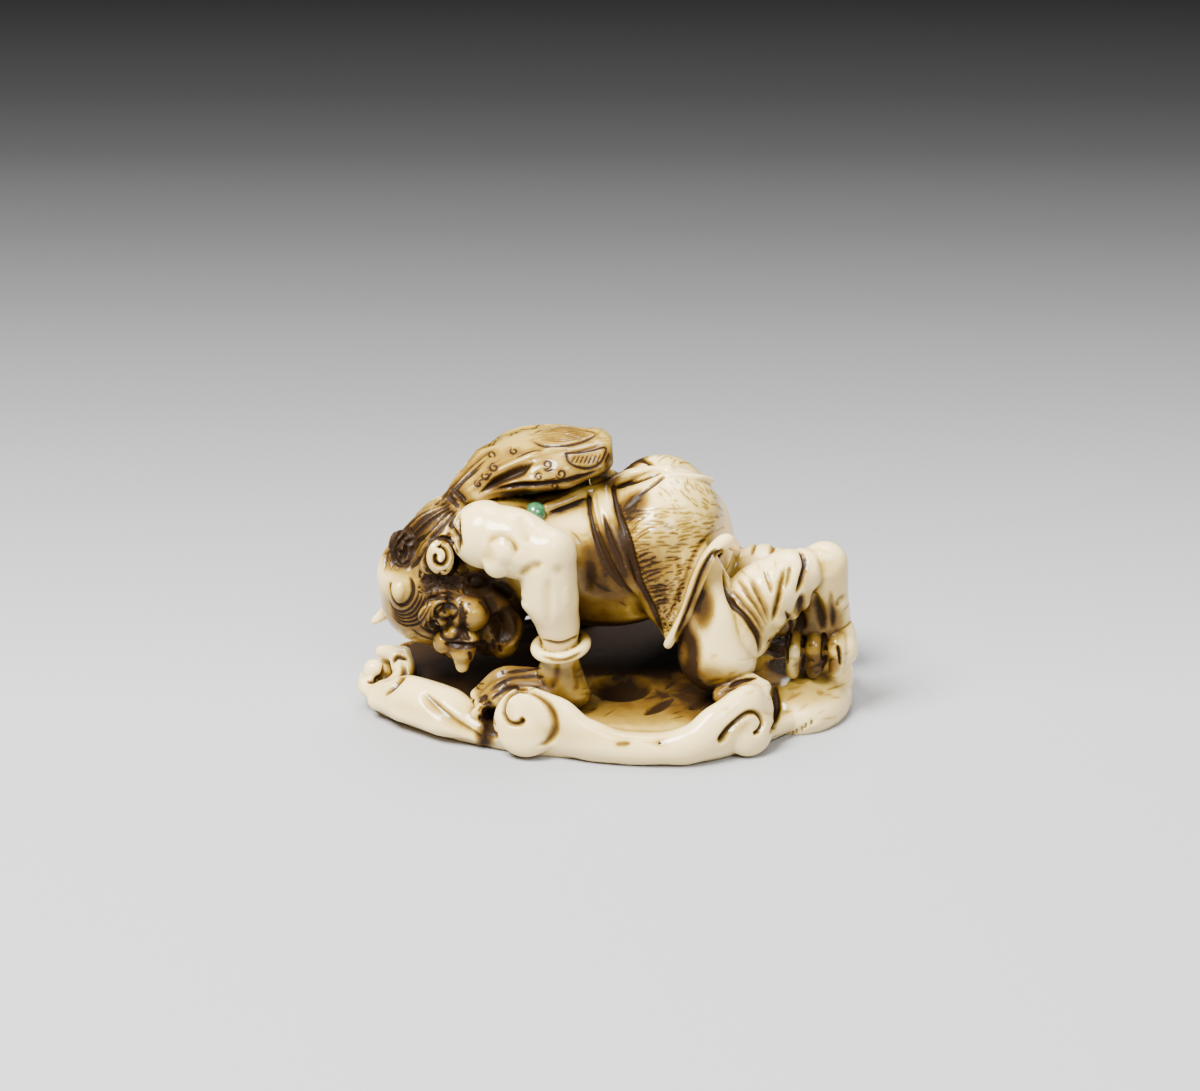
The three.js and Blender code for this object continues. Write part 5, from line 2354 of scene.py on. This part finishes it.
@dataclass(frozen=True)
class Ivory:
    """Old stained ivory: cream where hands polished it, honey elsewhere, brown in the cuts and painted shade
    where it is shut in.
    """

    cream: tuple[float, float, float] = (0.82, 0.62, 0.28)
    butter: tuple[float, float, float] = (0.66, 0.47, 0.17)
    straw: tuple[float, float, float] = (0.45, 0.31, 0.07)
    honey: tuple[float, float, float] = (0.24, 0.145, 0.018)
    brown: tuple[float, float, float] = (0.10, 0.049, 0.005)
    umber: tuple[float, float, float] = (0.018, 0.008, 0.002)

    def mixed(self) -> bpy.types.Material:
        """Mixes the material.

        Returns:
            The material.
        """
        bench = NodeBench("stained_ivory")
        where = bench.place()
        # the stain layer carries painted shade from shut-in places and from the washes under the figure, as
        # well as stain
        stain, tone, wear = bench.layer("stain"), bench.layer("tone"), bench.layer("wear")
        cloudy = bench.noise(where, 190.0, 3.0)
        grainy = bench.noise(where, 1500.0, 4.0, 0.65)
        streaky = bench.noise(
            bench.node("ShaderNodeMapping", {},
                       {"Vector": where, "Scale": (0.35, 1.0, 1.6)}).wire("Vector"), 900.0, 3.0
        )
        mottled = stain * (0.72 + 0.56 * cloudy) + (grainy - 0.5) * 0.16 * stain.between(0.02, 0.4)
        held = mottled + tone * (0.42 + 0.3 * cloudy.between(0.3, 0.75) + 0.16 * streaky) - wear * 0.12
        stops = (self.cream, self.butter, self.straw, self.honey, self.brown, self.umber)
        colour = bench.ramp(held, list(zip((0.0, 0.14, 0.28, 0.44, 0.72, 1.0), stops)))
        shader = bench.shader
        bench.feed(shader.inputs["Base Color"], colour)
        recess = held.between(0.35, 1.0)
        bench.feed(shader.inputs["Roughness"], 0.2 + 0.36 * recess + (grainy - 0.5) * 0.12)
        bench.feed(shader.inputs["Coat Weight"], 0.7 - 0.66 * recess)
        bump = bench.node(
            "ShaderNodeBump", {}, {"Strength": 0.25, "Distance": 0.00006, "Height": grainy + streaky * 0.6}
        )
        bench.feed(shader.inputs["Normal"], bump.wire("Normal"))
        shader.inputs["Subsurface Weight"].default_value = 0.12
        shader.inputs["Subsurface Radius"].default_value = (1.0, 0.6, 0.3)
        shader.inputs["Subsurface Scale"].default_value = 0.0012
        shader.inputs["Specular IOR Level"].default_value = 0.1
        shader.inputs["Coat IOR"].default_value = 1.45
        shader.inputs["Coat Roughness"].default_value = 0.12
        return bench.material


@dataclass(frozen=True)
class GreenStone:
    """Polished green stone with paler and darker flecks."""

    def mixed(self) -> bpy.types.Material:
        """Mixes the material.

        Returns:
            The material.
        """
        bench = NodeBench("polished_green_stone")
        where = bench.place()
        flecks = bench.noise(where, 1400.0, 4.0, 0.7)
        clouds = bench.noise(where, 520.0, 2.0)
        colour = bench.ramp(
            flecks * 0.6 + clouds * 0.4,
            ((0.3, (0.008, 0.04, 0.016)), (0.5, (0.022, 0.1, 0.038)), (0.7, (0.075, 0.2, 0.08))),
        )
        bench.feed(bench.shader.inputs["Base Color"], colour)
        bench.feed(bench.shader.inputs["Roughness"], 0.1 + 0.15 * flecks)
        bench.shader.inputs["Coat Weight"].default_value = 0.6
        bench.shader.inputs["Coat Roughness"].default_value = 0.05
        return bench.material


@dataclass(frozen=True)
class PaperWithPaintedFalloff:
    """Matt paper that is pale in front, with painted shade darkening it towards the back where the light
    falls off.
    """

    pale: float = 0.33
    length: float = 0.205  # metres from the pale end of the painted falloff to its dark end
    painted_falloff: Sequence[tuple[float, float]] = (
        # share of the length, share of the pale end's brightness
        (0.0, 1.0),
        (0.112, 0.83),
        (0.234, 0.64),
        (0.366, 0.43),
        (0.507, 0.257),
        (0.61, 0.166),
        (0.737, 0.089),
        (0.834, 0.057),
        (1.0, 0.026),
    )

    def mixed(self) -> bpy.types.Material:
        """Mixes the material.

        Returns:
            The material.
        """
        bench = NodeBench("paper_with_painted_falloff")
        parts = bench.node("ShaderNodeSeparateXYZ", {}, {"Vector": bench.place()})
        back = parts.wire("Y") * (1 / self.length)
        # painted shade: the paper's colour darkens towards the back in place of the light's falloff
        colour = bench.ramp(back, [(place, (self.pale * share,) * 3) for place, share in self.painted_falloff])
        bench.feed(bench.shader.inputs["Base Color"], colour)
        bench.shader.inputs["Roughness"].default_value = 0.85
        bench.shader.inputs["Specular IOR Level"].default_value = 0.0
        return bench.material


# ---------------------------------------------------------------- the whole


@dataclass
class Bead:
    """The green stone bead on the cord."""

    def build(self) -> bpy.types.Object:
        """Turns the bead, a little out of round, where the carving's seat holds it.

        Returns:
            The bead.
        """
        low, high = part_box("green_bead")
        centre = [(a + b) / 2 / MM for a, b in zip(low, high)]
        radius = (high[0] - low[0]) / 2 / MM
        piece = Bench.stock(48, 32)
        ball = Bench.read(piece)
        ripple = 1 + 0.012 * np.sin(ball[:, 0] * 5 + 1) * np.cos(ball[:, 2] * 4)
        Bench.write(piece, (ball * ripple[:, None] * radius + np.array(centre)) * MM)
        piece.name = "polished_bead"
        return piece

    def dress(self, piece: bpy.types.Object) -> None:
        """Polishes the bead and puts it on the model."""
        Bench.pick(piece)
        bpy.ops.object.shade_smooth()
        piece.data.materials.clear()
        piece.data.materials.append(GreenStone().mixed())
        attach(piece, "root")
        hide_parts("green_bead")


@dataclass
class Netsuke:
    """The carving in one piece."""

    boards: Boards
    trunk: Trunk = field(default_factory=Trunk)
    skin: float = 0.125  # size of the finished skin's faces before it is thinned out
    most_faces: int = 194_000

    def parts(self) -> list[object]:
        """Lists the parts of the figure and its cloud."""
        return [
            Cloud(),
            self.trunk,
            Ties(self.trunk),
            NearLeg(),
            FarLeg(),
            Hair(),
            Head(),
            WindBag(),
            Arm(Side.FAR),
            Arm(Side.NEAR),
        ]

    def carve(self) -> bpy.types.Object:
        """Roughs out every part, fuses them into one block and cuts it.

        Returns:
            The carving.
        """
        Bench.clear()
        parts = self.parts()
        pieces = []
        for part in parts:
            made = part.rough_out()
            LOG.info("%s: %d rough forms", type(part).__name__, len(made))
            pieces += made
        carving = Bench.fuse(pieces, self.skin * (1.0), 2, "ivory_figure_on_cloud")
        chisel = Chisel(carving)
        for part in parts:
            part.shape(chisel, self.boards)
        chisel.settle()
        Bench.modify(carving, "SMOOTH", factor=0.5, iterations=1)
        chisel.look_over()
        for part in parts:
            part.lines(chisel, self.boards)
        chisel.settle()
        LOG.info("%d strokes cut into %d points", chisel.count, len(carving.data.vertices))
        Patina(carving, chisel.ink + chisel.halo).lay([wash for part in parts for wash in part.washes()])
        triangles = 2 * len(carving.data.polygons)
        if triangles > self.most_faces:
            Bench.modify(carving, "DECIMATE", ratio=self.most_faces / triangles)
        LOG.info("carving: %d faces", len(carving.data.polygons))
        return carving

    def dress(self, carving: bpy.types.Object) -> None:
        """Brings the carving to its real size, stains it and puts it on the model."""
        Bench.write(carving, Bench.read(carving) * MM)
        Bench.pick(carving)
        bpy.ops.object.shade_smooth()
        carving.data.materials.clear()
        carving.data.materials.append(Ivory().mixed())
        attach(carving, "root")
        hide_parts("ivory_carving")


@dataclass(frozen=True)
class Studio:
    """Pale floor with painted shade towards the back, soft light and the camera."""

    elevation: float = 25.0  # degrees that the camera looks down
    distance: float = 600.0
    # what the middle of the frame shows: across, and up in the plane facing the camera
    aim: Spot = (-0.8, 15.45)
    lens: float = 180.0
    sensor: float = 36.0
    paper_size: float = 6.0  # metres
    sky: tuple[float, float, float] = (0.9, 0.95, 1.0)
    sky_strength: float = 0.12
    box_size: float = 0.3  # metres across each soft box
    soft_boxes: Sequence[tuple[str, Point, float]] = (
        # name, place in metres and watts
        ("key_light", (-0.24, -0.2, 0.54), 19.0),
        ("front_light", (0.2, -0.45, 0.5), 4.0),
        ("top_light", (0.06, 0.2, 0.5), 4.0),
    )

    def directions(self) -> tuple[Vector, Vector]:
        """Works out where the camera looks.

        Returns:
            The way it looks, and up in its frame.
        """
        angle = math.radians(self.elevation)
        return Vector((0, math.cos(angle), -math.sin(angle))), Vector((0, math.sin(angle), math.cos(angle)))

    def eye(self) -> Vector:
        """Finds the camera's place, in millimetres."""
        look, up = self.directions()
        return Vector((self.aim[0], 0, 0)) + up * self.aim[1] - look * self.distance

    def boards(self) -> Boards:
        """Sets up the drawing boards for this camera."""
        look, up = self.directions()
        return Boards.around(self.eye(), look, up)

    def set_up(self) -> None:
        """Places the camera, the floor and the lights."""
        data = bpy.data.cameras.new("camera")
        data.lens, data.sensor_width = self.lens, self.sensor
        data.clip_start, data.clip_end = 0.01, 20.0
        camera = bpy.data.objects.new("camera", data)
        camera.location = self.eye() * MM
        camera.rotation_euler = (math.radians(90 - self.elevation), 0, 0)
        bpy.context.scene.collection.objects.link(camera)
        bpy.context.scene.camera = camera
        self.floor()
        self.lights()

    def floor(self) -> None:
        """Lays the paper."""
        Bench.clear()
        bpy.ops.mesh.primitive_plane_add(size=self.paper_size, location=(0, 0, 0))
        floor = bpy.context.object
        floor.name = "floor"
        floor.data.materials.append(PaperWithPaintedFalloff().mixed())

    def lights(self) -> None:
        """Hangs the soft boxes."""
        for name, place, power in self.soft_boxes:
            data = bpy.data.lights.new(name, "AREA")
            data.shape, data.size, data.energy = "DISK", self.box_size, power
            light = bpy.data.objects.new(name, data)
            light.location = place
            light.rotation_euler = (Vector((0, 0, 0.01)) - Vector(place)).to_track_quat("-Z",
                                                                                        "Y").to_euler()
            bpy.context.scene.collection.objects.link(light)
        world = bpy.data.worlds.new("studio")
        world.use_nodes = True
        world.node_tree.nodes["Background"].inputs["Color"].default_value = (*self.sky, 1)
        world.node_tree.nodes["Background"].inputs["Strength"].default_value = self.sky_strength
        bpy.context.scene.world = world


def main() -> None:
    """Builds the netsuke and its studio."""
    logging.basicConfig(level=logging.INFO, format="%(message)s")
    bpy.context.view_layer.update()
    studio = Studio()
    netsuke = Netsuke(studio.boards())
    carving = netsuke.carve()
    netsuke.dress(carving)
    bead = Bead()
    bead.dress(bead.build())
    LOG.info("bead: polished")
    studio.set_up()


if __name__ == "__main__":
    main()
